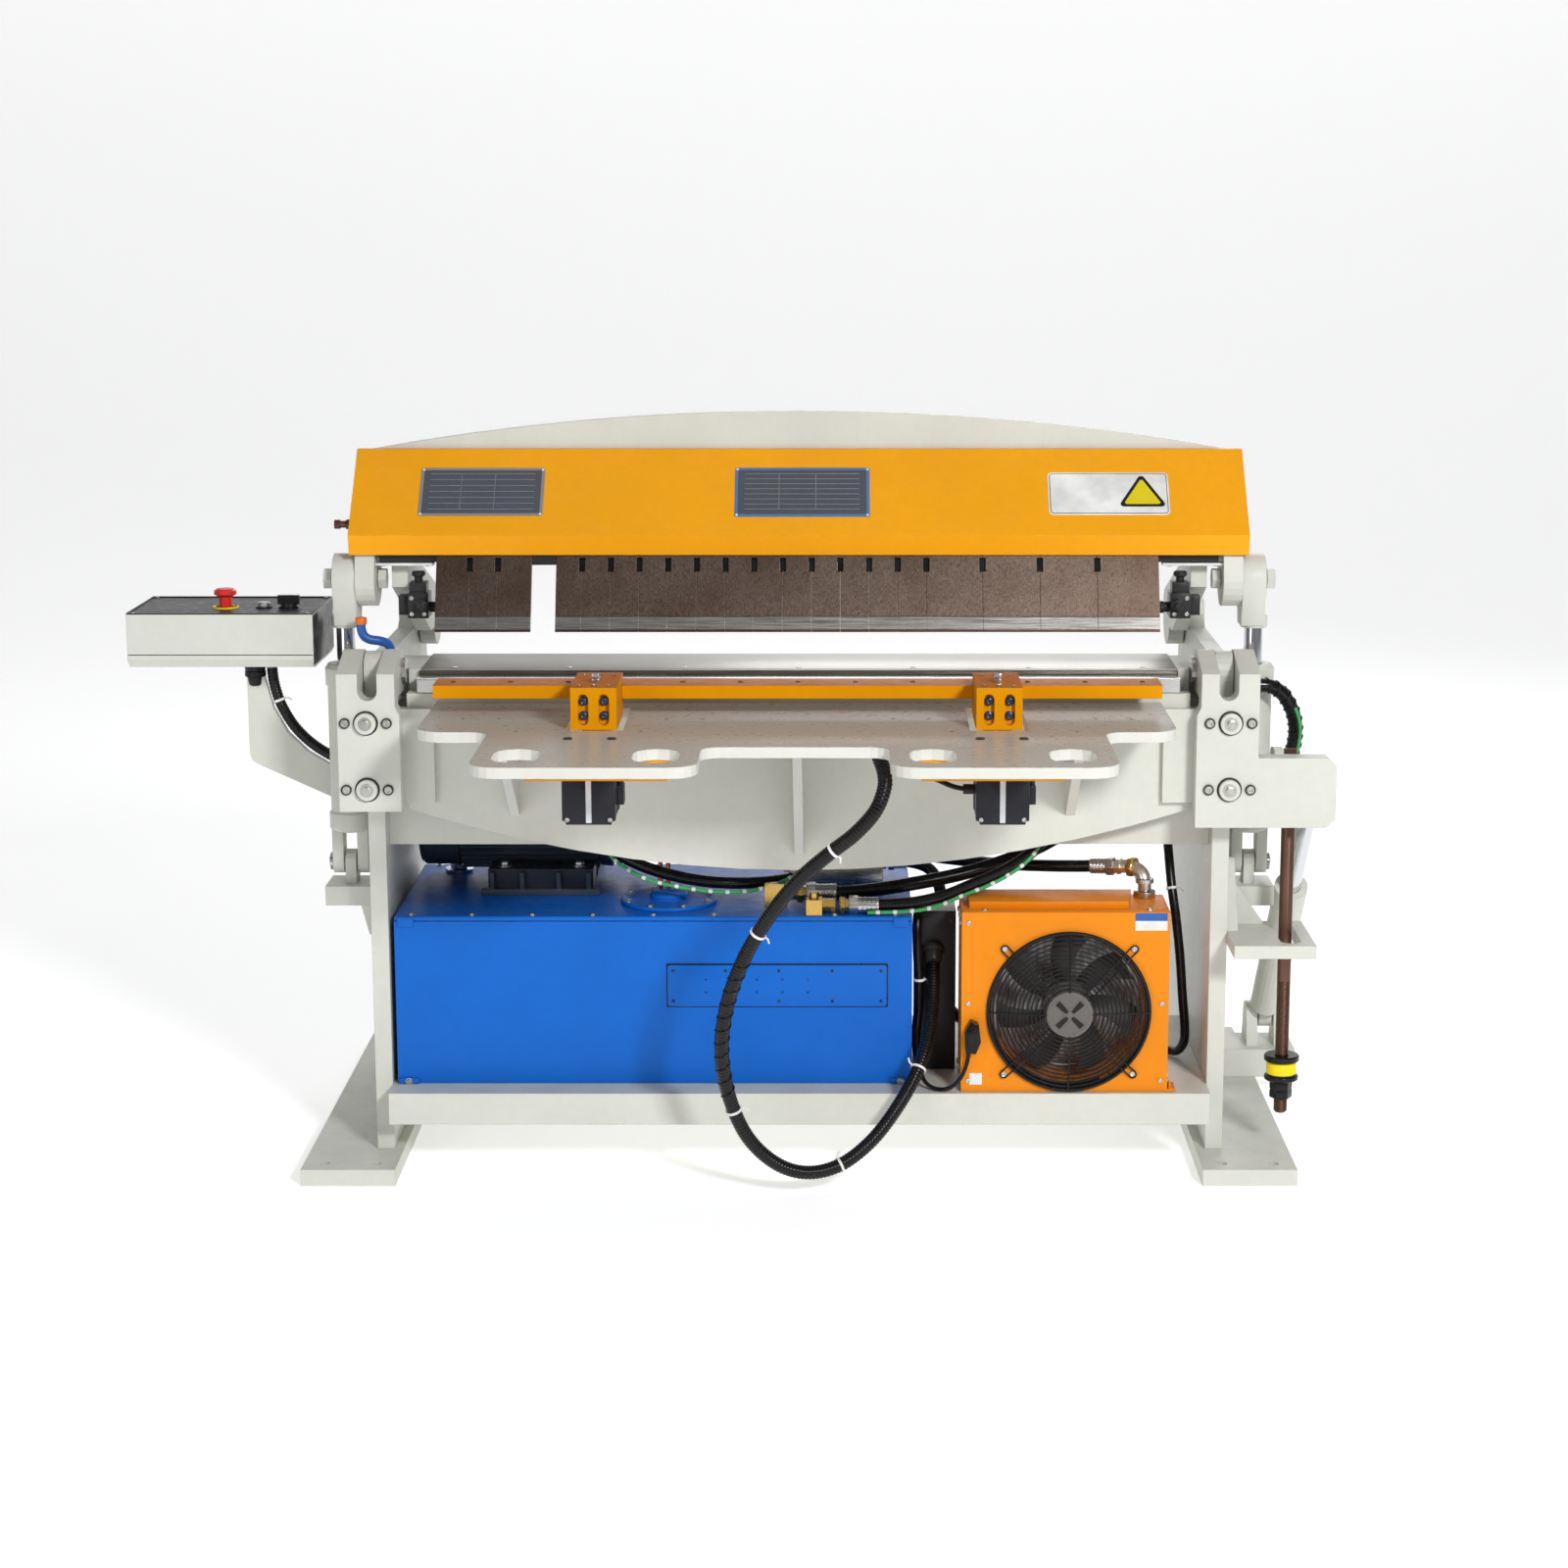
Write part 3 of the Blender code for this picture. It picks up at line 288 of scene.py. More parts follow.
def metal(name, colour, rough=0.3, grain=(1.0, 1.0, 1.0), scratch=0.5, stain=None, stain_share=0.3,
          rim=1.35):
    """Machined or ground metal: drawn-out tool marks along grain, stains and bright edges."""
    n = Nodes(name)
    marks = n.noise(520.0, stretch=grain, detail=5.0, rough=0.7)
    broad = n.noise(8.0, detail=5.0)
    tone = n.mix(n.span(marks, 0.3, 0.7, 0.0, 1.0), shade(colour, 1.0 - 0.28 * scratch),
                 shade(colour, 1.0 + 0.28 * scratch))
    if stain:
        tone = n.mix(n.span(broad, 0.45, 0.72, 0.0, stain_share), tone, stain)
    spots = n.noise(90.0, detail=6.0)
    tone = n.mix(n.span(spots, 0.62, 0.75, 0.0, 0.3), tone, shade(colour, 0.55))
    normal, edge = n.edges(0.0009)
    tone = n.mix(n.math("MULTIPLY", edge, 0.6), tone, shade(colour, rim))
    n.link(tone, n.shader.inputs["Base Color"])
    n.shader.inputs["Metallic"].default_value = 1.0
    n.link(n.span(marks, 0.25, 0.75, max(0.04, rough - 0.09), rough + 0.13), n.shader.inputs["Roughness"])
    n.link(n.bump(marks, 0.00006, scratch, normal), n.shader.inputs["Normal"])
    return n.material


def plastic(name, colour, rough=0.42, grainy=0.00012, dusty=0.25, scale=900.0):
    """Moulded plastic or rubber: fine grain, slight shade changes and dust in the texture."""
    n = Nodes(name)
    grain = n.noise(scale, detail=2.0)
    broad = n.noise(22.0, detail=5.0)
    tone = n.mix(n.span(broad, 0.35, 0.7, 0.0, 1.0), shade(colour, 0.86), shade(colour, 1.14))
    tone = n.mix(n.span(n.noise(55.0, detail=6.0), 0.56, 0.8, 0.0, dusty), tone, srgb(142, 138, 130))
    normal, edge = n.edges(0.001)
    tone = n.mix(n.math("MULTIPLY", edge, 0.25), tone, shade(colour, 1.7))
    n.link(tone, n.shader.inputs["Base Color"])
    n.shader.inputs["Specular IOR Level"].default_value = 0.3
    n.link(n.span(broad, 0.3, 0.7, rough - 0.07, rough + 0.1), n.shader.inputs["Roughness"])
    n.link(n.bump(grain, grainy, 0.7, normal), n.shader.inputs["Normal"])
    return n.material


ALONG_X = (0.02, 1.0, 1.0)
ALONG_Z = (1.0, 1.0, 0.02)
GREY_TONE = srgb(208, 209, 200)
LOOKS = {
    "grey_paint": paint("grey_enamel", GREY_TONE, rough=0.4, mottle=0.04, wear=0.55, grime=0.16),
    "yellow_paint": paint("yellow_enamel", srgb(242, 164, 0), rough=0.42, mottle=0.04, wear=0.3,
                          grime=0.08),
    "orange_paint": paint("orange_enamel", srgb(232, 136, 2), rough=0.42, mottle=0.06, wear=0.45,
                          grime=0.14),
    # Its top colour is painted shade: the gauge's top faces are drawn darker orange than its lit front faces.
    "gauge_orange": paint("gauge_enamel", srgb(230, 152, 0), rough=0.42, mottle=0.06, wear=0.5,
                          grime=0.12, top=srgb(196, 108, 0),
                          coat=0.0, gloss=0.06),
    "blue_paint": paint("blue_enamel", srgb(0, 98, 196), rough=0.4, mottle=0.06, wear=0.35, grime=0.07),
    "slate_paint": paint("slate_enamel", srgb(43, 45, 58), rough=0.33, mottle=0.1, wear=0.5, grime=0.12),
    "tool_steel": metal("ground_tool_steel", srgb(122, 112, 104), 0.36, ALONG_Z, 0.9, srgb(96, 82, 72),
                        0.55),
    "bed_steel": metal("dark_bed_steel", srgb(112, 108, 102), 0.34, ALONG_X, 0.8, srgb(84, 76, 68), 0.5),
    "chrome": metal("hard_chrome", srgb(214, 216, 220), 0.1, ALONG_Z, 0.25, rim=1.1),
    "bright_steel": metal("bright_steel", srgb(196, 196, 194), 0.24, ALONG_X, 0.5, srgb(150, 140, 128),
                          0.3),
    "browned_steel": metal("browned_steel", srgb(116, 88, 76), 0.42, ALONG_Z, 0.7, srgb(88, 62, 50), 0.6),
    "black_plastic": plastic("black_plastic", srgb(20, 20, 22), rough=0.3, grainy=0.00006, dusty=0.06),
    "motor_black": paint("motor_enamel", srgb(52, 62, 76), rough=0.42, mottle=0.1, wear=0.4, grime=0.26),
    "black_rubber": plastic("black_rubber", srgb(13, 13, 14), rough=0.24, grainy=0.00004, dusty=0.04,
                            scale=1400.0),
    "red_plastic": plastic("red_plastic", srgb(226, 48, 42), rough=0.28, dusty=0.06),
    "aluminium": metal("cast_aluminium", srgb(186, 188, 190), 0.4, (1.0, 1.0, 1.0), 0.6,
                       srgb(150, 150, 150), 0.3),
    "brass": metal("brass", srgb(206, 168, 92), 0.26, (1.0, 1.0, 1.0), 0.5, srgb(150, 110, 60), 0.4),
    "copper": metal("copper_pipe", srgb(192, 118, 82), 0.28, ALONG_Z, 0.4, srgb(120, 70, 50), 0.5),
    "white_plastic": plastic("white_plastic", srgb(230, 231, 228), rough=0.4, dusty=0.1),
    "green_plastic": plastic("green_plastic", srgb(64, 166, 96), rough=0.4, dusty=0.12),
    "blue_plastic": plastic("blue_plastic", srgb(44, 96, 176), rough=0.36, dusty=0.1),
    "orange_plastic": plastic("orange_plastic", srgb(232, 116, 30), rough=0.36, dusty=0.1),
    "plate_dark": paint("dark_nameplate", srgb(77, 80, 88), rough=0.3, mottle=0.04, wear=0.2, grime=0.1),
    "plate_blue": paint("blue_nameplate", srgb(78, 118, 178), rough=0.3, mottle=0.04, wear=0.2,
                        grime=0.1),
    "plate_rim": metal("nameplate_rim", srgb(168, 172, 178), 0.34, (1.0, 1.0, 1.0), 0.3),
    "black_satin": paint("black_blocks", srgb(46, 45, 46), rough=0.36, mottle=0.1, wear=0.5, grime=0.16),
    "finger_steel": metal("finger_steel", srgb(116, 100, 90), 0.32, (1.0, 1.0, 0.03), 0.9,
                          srgb(88, 68, 56), 0.65),
    "finger_foot": metal("finger_foot", srgb(172, 168, 164), 0.26, ALONG_X, 0.5, srgb(140, 132, 124),
                         0.3),
    "finger_tip": metal("finger_tip", srgb(88, 68, 60), 0.34, ALONG_X, 0.6, srgb(60, 48, 42), 0.4),
    "ground_steel": metal("ground_steel", srgb(226, 226, 224), 0.2, ALONG_X, 0.4, rim=1.2),
    "blued_steel": metal("blued_steel", srgb(92, 108, 140), 0.26, (1.0, 1.0, 1.0), 0.5, srgb(60, 66, 84),
                         0.4),
    "stepper_body": paint("stepper_laminations", srgb(40, 44, 56), rough=0.4, mottle=0.12, wear=0.5,
                          grime=0.12),
    "stepper_cap": paint("stepper_cap", srgb(34, 36, 44), rough=0.3, mottle=0.1, wear=0.4, grime=0.1),
    "stripe_white": plastic("stripe_white", srgb(208, 218, 228), rough=0.25, dusty=0.08),
    "bed_top": metal("bed_top", srgb(140, 138, 132), 0.34, ALONG_X, 0.5, srgb(120, 116, 108), 0.4),
    # Its top colour is painted shade: the table's top is drawn darker than its lit front edges.
    "table_paint": paint("table_enamel", srgb(214, 214, 206), rough=0.3, mottle=0.03, wear=0.8, coat=0.1,
                         grime=0.05,
                          top=srgb(184, 181, 172), peel=0.00001),
    "motor_grey": paint("motor_casting", srgb(58, 70, 84), rough=0.42, mottle=0.1, wear=0.5, grime=0.22),
    "white_metal": metal("nickel_plate", srgb(232, 226, 214), 0.26, (1.0, 1.0, 1.0), 0.4,
                         srgb(190, 170, 140), 0.3),
    "box_paint": paint("box_enamel", GREY_TONE, rough=0.4, mottle=0.03, wear=0.4, grime=0.06,
                       top=srgb(30, 28, 27)),
    "blade_grey": plastic("fan_blade", srgb(70, 68, 66), rough=0.34, dusty=0.1),
    "hub_grey": paint("fan_hub", srgb(104, 101, 98), rough=0.34, mottle=0.12, wear=0.4, grime=0.1),
    "core_grey": metal("cooler_core_fins", srgb(214, 214, 214), 0.34, (1.0, 1.0, 1.0), 0.4),
    "bolt_grey": metal("painted_bolt", srgb(188, 188, 180), 0.38, (1.0, 1.0, 1.0), 0.4,
                       srgb(120, 118, 112), 0.4),
    "collar_yellow": paint("collar_yellow", srgb(245, 222, 10), rough=0.36, mottle=0.05, wear=0.5),
}


# ---------------------------------------------------------------- shapes


def basis(direction):
    """A turn that takes +Z to a direction."""
    return Vector(direction).to_track_quat("Z", "Y").to_matrix().to_4x4()


class Form:
    """One piece's mesh, built up from shapes in machine coordinates."""

    def __init__(self):
        self.work = bmesh.new()

    def lattice(self, rows, closed_row=True, closed_column=False, cap=True, slot=0):
        """Join rows of points into a skin."""
        grid = [[self.work.verts.new(point) for point in row] for row in rows]
        count = len(grid[0])
        last = len(grid) if closed_column else len(grid) - 1
        for i in range(last):
            upper, lower = grid[(i + 1) % len(grid)], grid[i]
            for j in range(count if closed_row else count - 1):
                k = (j + 1) % count
                face = self.work.faces.new((lower[j], lower[k], upper[k], upper[j]))
                face.material_index = slot
        if cap and not closed_column:
            for row in (list(reversed(grid[0])), grid[-1]):
                self.work.faces.new(row).material_index = slot
        return self

    def box(self, low, high, slot=0):
        """A block between two corners."""
        (x0, y0, z0), (x1, y1, z1) = low, high
        rows = [[(x0, y0, z), (x1, y0, z), (x1, y1, z), (x0, y1, z)] for z in (z0, z1)]
        return self.lattice(rows, slot=slot)

    def prism(self, outline, span, axis="Z", slot=0):
        """An outline drawn out along an axis: (y, z) for X, (x, z) for Y and (x, y) for Z."""
        place = {"X": lambda a, b, c: (c, a, b), "Y": lambda a, b, c: (a, c, b), "Z": lambda a, b,
                 c: (a, b, c)}[axis]
        return self.lattice([[place(a, b, c) for a, b in outline] for c in span], slot=slot)

    def turned(self, profile, centre, axis=(0, 0, 1), sides=24, slot=0, cap=True):
        """A profile of (radius, height) turned about an axis through centre."""
        turn = Matrix.Translation(centre) @ basis(axis)
        rows = []
        for radius, height in profile:
            ring = [(radius * cos(2 * pi * i / sides), radius * sin(2 * pi * i / sides),
                     height) for i in range(sides)]
            rows.append([turn @ Vector(point) for point in ring])
        return self.lattice(rows, slot=slot, cap=cap)

    def rod(self, start, end, radius, sides=20, slot=0, edge=0.0008):
        """A round bar between two points, with small chamfers."""
        start, end = Vector(start), Vector(end)
        length = (end - start).length
        edge = min(edge, radius * 0.4, length * 0.3)
        profile = [(radius - edge, 0.0), (radius, edge), (radius, length - edge), (radius - edge, length)]
        return self.turned(profile, start, end - start, sides, slot)

    def tube(self, points, radius, sides=12, slot=0, closed=False):
        """A round tube along a line of points; radius is a number or one number for each point."""
        points = [Vector(p) for p in points]
        count = len(points)
        radii = radius if isinstance(radius, (list, tuple)) else [radius] * count
        rows, side = [], None
        for i, point in enumerate(points):
            before = points[i - 1] if i or closed else points[0]
            after = points[(i + 1) % count] if i < count - 1 or closed else points[-1]
            ahead = (after - before).normalized()
            if side is None:
                side = ahead.orthogonal().normalized()
            side = (side - ahead * side.dot(ahead)).normalized()
            other = ahead.cross(side)
            turn = [2 * pi * j / sides for j in range(sides)]
            rows.append([point + radii[i] * (cos(a) * side + sin(a) * other) for a in turn])
        return self.lattice(rows, closed_column=closed, slot=slot)

    def hex_bolt(self, centre, axis, size=0.0065, height=0.005, slot=0, washer=True):
        """A hexagon head on a washer; size is half its width across flats."""
        corner = size / cos(radians(30))
        base = 0.0012 if washer else 0.0
        if washer:
            self.turned([(size * 1.55, -0.001), (size * 1.65, 0.0), (size * 1.6, base)], centre, axis, 20,
                        slot)
        profile = [(corner, base), (corner, height * 0.82), (size * 0.9, height),
                   (size * 0.45, height * 0.97)]
        return self.turned(profile, centre, axis, 6, slot)

    def socket_screw(self, centre, axis, radius=0.005, height=0.004, slot=0, sides=16):
        """A round head with a hexagon socket sunk in it."""
        rim = [(radius, -0.0008), (radius, height * 0.8), (radius * 0.9, height), (radius * 0.56, height)]
        self.turned(rim + [(radius * 0.5, height * 0.35), (radius * 0.05, height * 0.3)], centre, axis,
                    sides, slot)
        return self

    def mirrored(self):
        """Add the same shapes on the other side of the machine."""
        parts = self.work.verts[:] + self.work.edges[:] + self.work.faces[:]
        doubled = bmesh.ops.duplicate(self.work, geom=parts)["geom"]
        for vert in (part for part in doubled if isinstance(part, bmesh.types.BMVert)):
            vert.co.x = -vert.co.x
        faces = [part for part in doubled if isinstance(part, bmesh.types.BMFace)]
        bmesh.ops.reverse_faces(self.work, faces=faces)
        return self

    def piece(self, name, body, looks, soft=True, bevel=0.0, angle=35.0):
        """Finish the mesh as a piece on a body, with looks from the LOOKS table."""
        bmesh.ops.recalc_face_normals(self.work, faces=self.work.faces[:])
        bmesh.ops.translate(self.work, verts=self.work.verts[:], vec=SHIFT)
        mesh = bpy.data.meshes.new(name)
        self.work.to_mesh(mesh)
        self.work.free()
        for look in [looks] if isinstance(looks, str) else looks:
            mesh.materials.append(LOOKS[look])
        obj = bpy.data.objects.new(name, mesh)
        bpy.context.scene.collection.objects.link(obj)
        if bevel:
            edge = obj.modifiers.new("edge", "BEVEL")
            edge.width = bevel
            edge.segments = 2
            edge.limit_method = "ANGLE"
            edge.angle_limit = radians(40)
        applied(obj)
        if soft:
            for face in obj.data.polygons:
                face.use_smooth = True
            obj.data.set_sharp_from_angle(angle=radians(angle))
        if body:
            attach(obj, body)
        return obj


def applied(obj):
    """Make a piece's modifiers part of its mesh."""
    if not obj.modifiers:
        return
    bpy.context.view_layer.update()
    graph = bpy.context.evaluated_depsgraph_get()
    mesh = bpy.data.meshes.new_from_object(obj.evaluated_get(graph))
    obj.modifiers.clear()
    obj.data = mesh


def smooth_route(points, spacing):
    """Evenly spaced points on a smooth curve through a cord's route."""
    ends = [2 * Vector(points[0]) - Vector(points[1]), 2 * Vector(points[-1]) - Vector(points[-2])]
    knots = [ends[0], *(Vector(p) for p in points), ends[1]]
    fine = []
    for i in range(1, len(knots) - 2):
        a, b, c, d = knots[i - 1:i + 3]
        for step in range(24):
            t = step / 24
            fine.append(0.5 * ((2 * b) + (c - a) * t + (2 * a - 5 * b + 4 * c - d) * t * t
                               + (3 * b - a - 3 * c + d) * t ** 3))
    fine.append(knots[-2])
    lengths = [0.0]
    for a, b in zip(fine, fine[1:]):
        lengths.append(lengths[-1] + (b - a).length)
    count = max(2, round(lengths[-1] / spacing))
    placed, index = [], 0
    for i in range(count + 1):
        goal = lengths[-1] * i / count
        while index < len(lengths) - 2 and lengths[index + 1] < goal:
            index += 1
        share = (goal - lengths[index]) / max(1e-9, lengths[index + 1] - lengths[index])
        placed.append(fine[index].lerp(fine[index + 1], share))
    return placed


def length_of(points):
    """The length of a line of points."""
    return sum((b - a).length for a, b in zip(points, points[1:]))


def thread(start, end, pitch, crest, root, steps):
    """A thread's profile between two heights, and the height where it stops."""
    rise, fall, foot = steps
    profile, height = [], start
    while height + pitch < end:
        profile += [(root, height), (crest, height + rise), (crest, height + fall), (root, height + foot)]
        height += pitch
    return profile, height


def circle(radius, sides, a=0.0, b=0.0):
    """An outline's points on a circle."""
    turn = [2 * pi * i / sides for i in range(sides)]
    return [(a + radius * cos(t), b + radius * sin(t)) for t in turn]


def arc(a, b, radius, start, end, steps):
    """An outline's points on an arc, from start to end in degrees."""
    turn = [radians(start + (end - start) * i / steps) for i in range(steps + 1)]
    return [(a + radius * cos(t), b + radius * sin(t)) for t in turn]


# ---------------------------------------------------------------- cords
# The routes are the CAD model's own, in machine coordinates.
CABLE_RADIUS = 0.0125
CABLE_ROUTE = [(0.135, -0.4, 0.808), (0.142, -0.418, 0.79), (0.143, -0.432, 0.765), (0.128, -0.44, 0.728),
               (0.095, -0.438, 0.69), (0.048, -0.425, 0.65), (0.0, -0.405, 0.602), (-0.048, -0.38, 0.535),
               (-0.09, -0.35, 0.455), (-0.118, -0.32, 0.37), (-0.128, -0.29, 0.285),
               (-0.118, -0.262, 0.2),
               (-0.088, -0.24, 0.12), (-0.04, -0.222, 0.066), (0.014, -0.208, 0.044),
               (0.072, -0.193, 0.053),
               (0.128, -0.173, 0.092), (0.176, -0.146, 0.15), (0.21, -0.11, 0.205), (0.228, -0.06, 0.25),
               (0.236, 0.0, 0.3), (0.238, 0.06, 0.36)]
ARM_ROUTE = [(-0.946, 0.165, 0.868), (-0.944, 0.165, 0.845), (-0.9385, 0.165, 0.82),
             (-0.929, 0.165, 0.794), (-0.908, 0.165, 0.759), (-0.876, 0.165, 0.727),
             (-0.834, 0.165, 0.7015), (-0.79, 0.165, 0.687), (-0.755, 0.165, 0.685)]
PRESSURE_ROUTE = [(0.151, 0.24, 0.51), (0.185, 0.24, 0.51), (0.235, 0.224, 0.508), (0.3, 0.186, 0.508),
                  (0.37, 0.148, 0.51), (0.44, 0.117, 0.514), (0.5, 0.096, 0.518), (0.552, 0.08, 0.522),
                  (0.586, 0.066, 0.523), (0.606, 0.05, 0.513), (0.612, 0.04, 0.492)]
RETURN_ROUTE = [(0.151, 0.285, 0.485), (0.2, 0.285, 0.484), (0.24, 0.275, 0.47), (0.258, 0.255, 0.43),
                (0.258, 0.235, 0.36), (0.258, 0.218, 0.29), (0.264, 0.205, 0.24), (0.288, 0.188, 0.215),
                (0.318, 0.165, 0.207), (0.33, 0.145, 0.205), (0.33, 0.1215, 0.205)]


def conduit(points, radius, pitch, ridge):
    """Corrugated conduit along a line: (points, radii) with one ridge for each pitch."""
    total = length_of(points)
    steps = round(total / pitch) * 4
    line = smooth_route(points, total / steps)
    return line, [radius - ridge * (1 - cos(2 * pi * i / 4)) / 2 for i in range(len(line))]


def tie(form, line, share, radius, slot=0):
    """A cable tie round a line at a share of its length, with its cut-off tail."""
    index = min(len(line) - 2, max(1, round(share * (len(line) - 1))))
    centre = Vector(line[index])
    ahead = (Vector(line[index + 1]) - Vector(line[index - 1])).normalized()
    form.turned([(radius, -0.0022), (radius + 0.0016, -0.0022), (radius + 0.0016, 0.0022),
                 (radius, 0.0022)],
                centre, ahead, 24, slot, cap=False)
    side = ahead.cross(Vector((0, 1, 0.2))).normalized()
    start = centre + side * (radius + 0.001)
    form.tube([start, start + side * 0.006 + ahead * 0.002, start + side * 0.011 + ahead * 0.008], 0.0017,
              6, slot)
    return form


def main_cable():
    """The bending beam's cable loom, which hangs in a free loop from the table to the cooler's corner."""
    route = smooth_route(CABLE_ROUTE, 0.012)
    line, radii = conduit(route, CABLE_RADIUS, 0.0062, 0.0011)
    form = Form()
    form.tube(line, radii, 20)
    loom = form.piece("hanging_cable", None, "black_rubber", angle=80)
    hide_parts("main_cable")
    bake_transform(loom)

    ties = Form()
    for share in (0.13, 0.27, 0.52, 0.69, 0.84):
        tie(ties, line, share, CABLE_RADIUS)
    bands = ties.piece("hanging_cable_ties", None, "white_plastic")
    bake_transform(bands)

    wrap = Form()
    turns = []
    start, stop = round(0.3 * len(line)), round(0.5 * len(line))
    for i in range(start, stop):
        ahead = (line[i + 1] - line[i - 1]).normalized()
        side = ahead.orthogonal().normalized()
        other = ahead.cross(side)
        angle = 2 * pi * (i - start) / 17
        turns.append(line[i] + (CABLE_RADIUS + 0.0006) * (cos(angle) * side + sin(angle) * other))
    wrap.tube(turns, 0.0009, 6)
    spiral = wrap.piece("hanging_cable_wrap", None, "black_plastic")
    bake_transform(spiral)


def fixed_hose(name, node, route, radius, ribbed=False):
    """A hose or conduit that the machine holds along its whole length."""
    line = smooth_route(route, 0.01)
    form = Form()
    if ribbed:
        points, radii = conduit(line, radius, 0.0058, 0.0009)
        form.tube(points, radii, 18)
    else:
        form.tube(line, radius, 18)
    obj = form.piece(name, "frame", "black_rubber", angle=80)
    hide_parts(node)


main_cable()
fixed_hose("control_conduit", "control_cable", ARM_ROUTE, 0.01, ribbed=True)
fixed_hose("oil_pressure_hose", "pressure_hose", PRESSURE_ROUTE, 0.011)
fixed_hose("oil_return_hose", "return_hose", RETURN_ROUTE, 0.011)


# ---------------------------------------------------------------- oil cooler
COOLER_LOW, COOLER_HIGH = node_box("cooler_housing")
ROTOR_LOW, ROTOR_HIGH = node_box("fan_rotor")
FAN_X, FAN_Z = (ROTOR_LOW.x + ROTOR_HIGH.x) / 2, (ROTOR_LOW.z + ROTOR_HIGH.z) / 2
FACE_Y = COOLER_LOW.y
FRONT = (0, -1, 0)
DIAGONALS = [(Vector((cos(angle), 0, sin(angle))), Vector((-sin(angle), 0, cos(angle))))
             for angle in (radians(turn) for turn in (45, 135, 225, 315))]


def hub_cross(form, y, reach, half, thick):
    """Four ribs in a cross on a hub's face, drawn forward from y."""
    for out, side in DIAGONALS:
        base = Vector((FAN_X, y, FAN_Z))
        corners = ((0.006, 0.003), (reach, half), (reach, -half), (0.006, -0.003))
        flat = [base + out * along + side * across for along, across in corners]
        form.lattice([flat, [point + Vector((0, -thick, 0)) for point in flat]])


def ring(form, radius, y, wire, steps=72, slot=0):
    """A wire ring about the fan's axis."""
    turn = [2 * pi * i / steps for i in range(steps)]
    form.tube([(FAN_X + radius * cos(t), y, FAN_Z + radius * sin(t)) for t in turn], wire, 6, slot,
              closed=True)


def fan_guard():
    """Wire guard: concentric rings that dome forward, four flat spokes and four looped struts."""
    form = Form()
    outer, inner = 0.1415, 0.045

    def dome(radius):
        return FACE_Y - 0.006 - 0.016 * (1 - (radius / outer) ** 2)

    rings = 14
    for i in range(rings):
        radius = inner + (outer - inner) * i / (rings - 1)
        ring(form, radius, dome(radius), 0.0017 if i < rings - 1 else 0.0028)
    ring(form, outer + 0.0005, FACE_Y - 0.0024, 0.0024)
    for step in range(4):
        angle = pi / 2 * step
        along = [inner - 0.006 + (outer - inner + 0.006) * i / 8 for i in range(9)]
        form.tube([(FAN_X + r * cos(angle), dome(r) - 0.0022, FAN_Z + r * sin(angle)) for r in along],
                  0.0019, 6)
    for out, side in DIAGONALS:
        centre = Vector((FAN_X, 0, FAN_Z))
        reach = 0.16
        loop = []
        for sign in (1, -1):
            run = [(0.041, dome(0.041)), (0.08, dome(0.08)), (0.12, dome(0.12)),
                   (0.139, dome(0.139) - 0.001),
                   (0.147, FACE_Y - 0.0035), (reach, FACE_Y - 0.0022)]
            points = [centre + out * r + side * 0.0062 * sign + Vector((0, y - 0.0022, 0)) for r,
                      y in run]
            loop.append(points if sign > 0 else list(reversed(points)))
        tip = [centre + out * (reach + 0.0062 * sin(radians(a))) + side * 0.0062 * cos(radians(a))
               + Vector((0, FACE_Y - 0.0044, 0)) for a in range(30, 151, 30)]
        form.tube(loop[0] + tip + loop[1], 0.0016, 6)
        form.socket_screw(centre + out * reach + Vector((0, FACE_Y, 0)), FRONT, 0.0052, 0.0042, 1)
    hub = [(0.0395, 0.0), (0.0412, 0.003), (0.0405, 0.0062), (0.034, 0.0075), (0.033, 0.0068),
           (0.012, 0.0072),
           (0.0105, 0.0085), (0.0015, 0.0088)]
    form.turned(hub, (FAN_X, dome(0.04) + 0.003, FAN_Z), FRONT, 40, 2)
    hub_cross(form, dome(0.04) - 0.004, 0.03, 0.005, 0.0022)
    guard = form.piece("fan_wire_guard", "frame", ["black_plastic", "bright_steel", "hub_grey"])
    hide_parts("fan_guard")


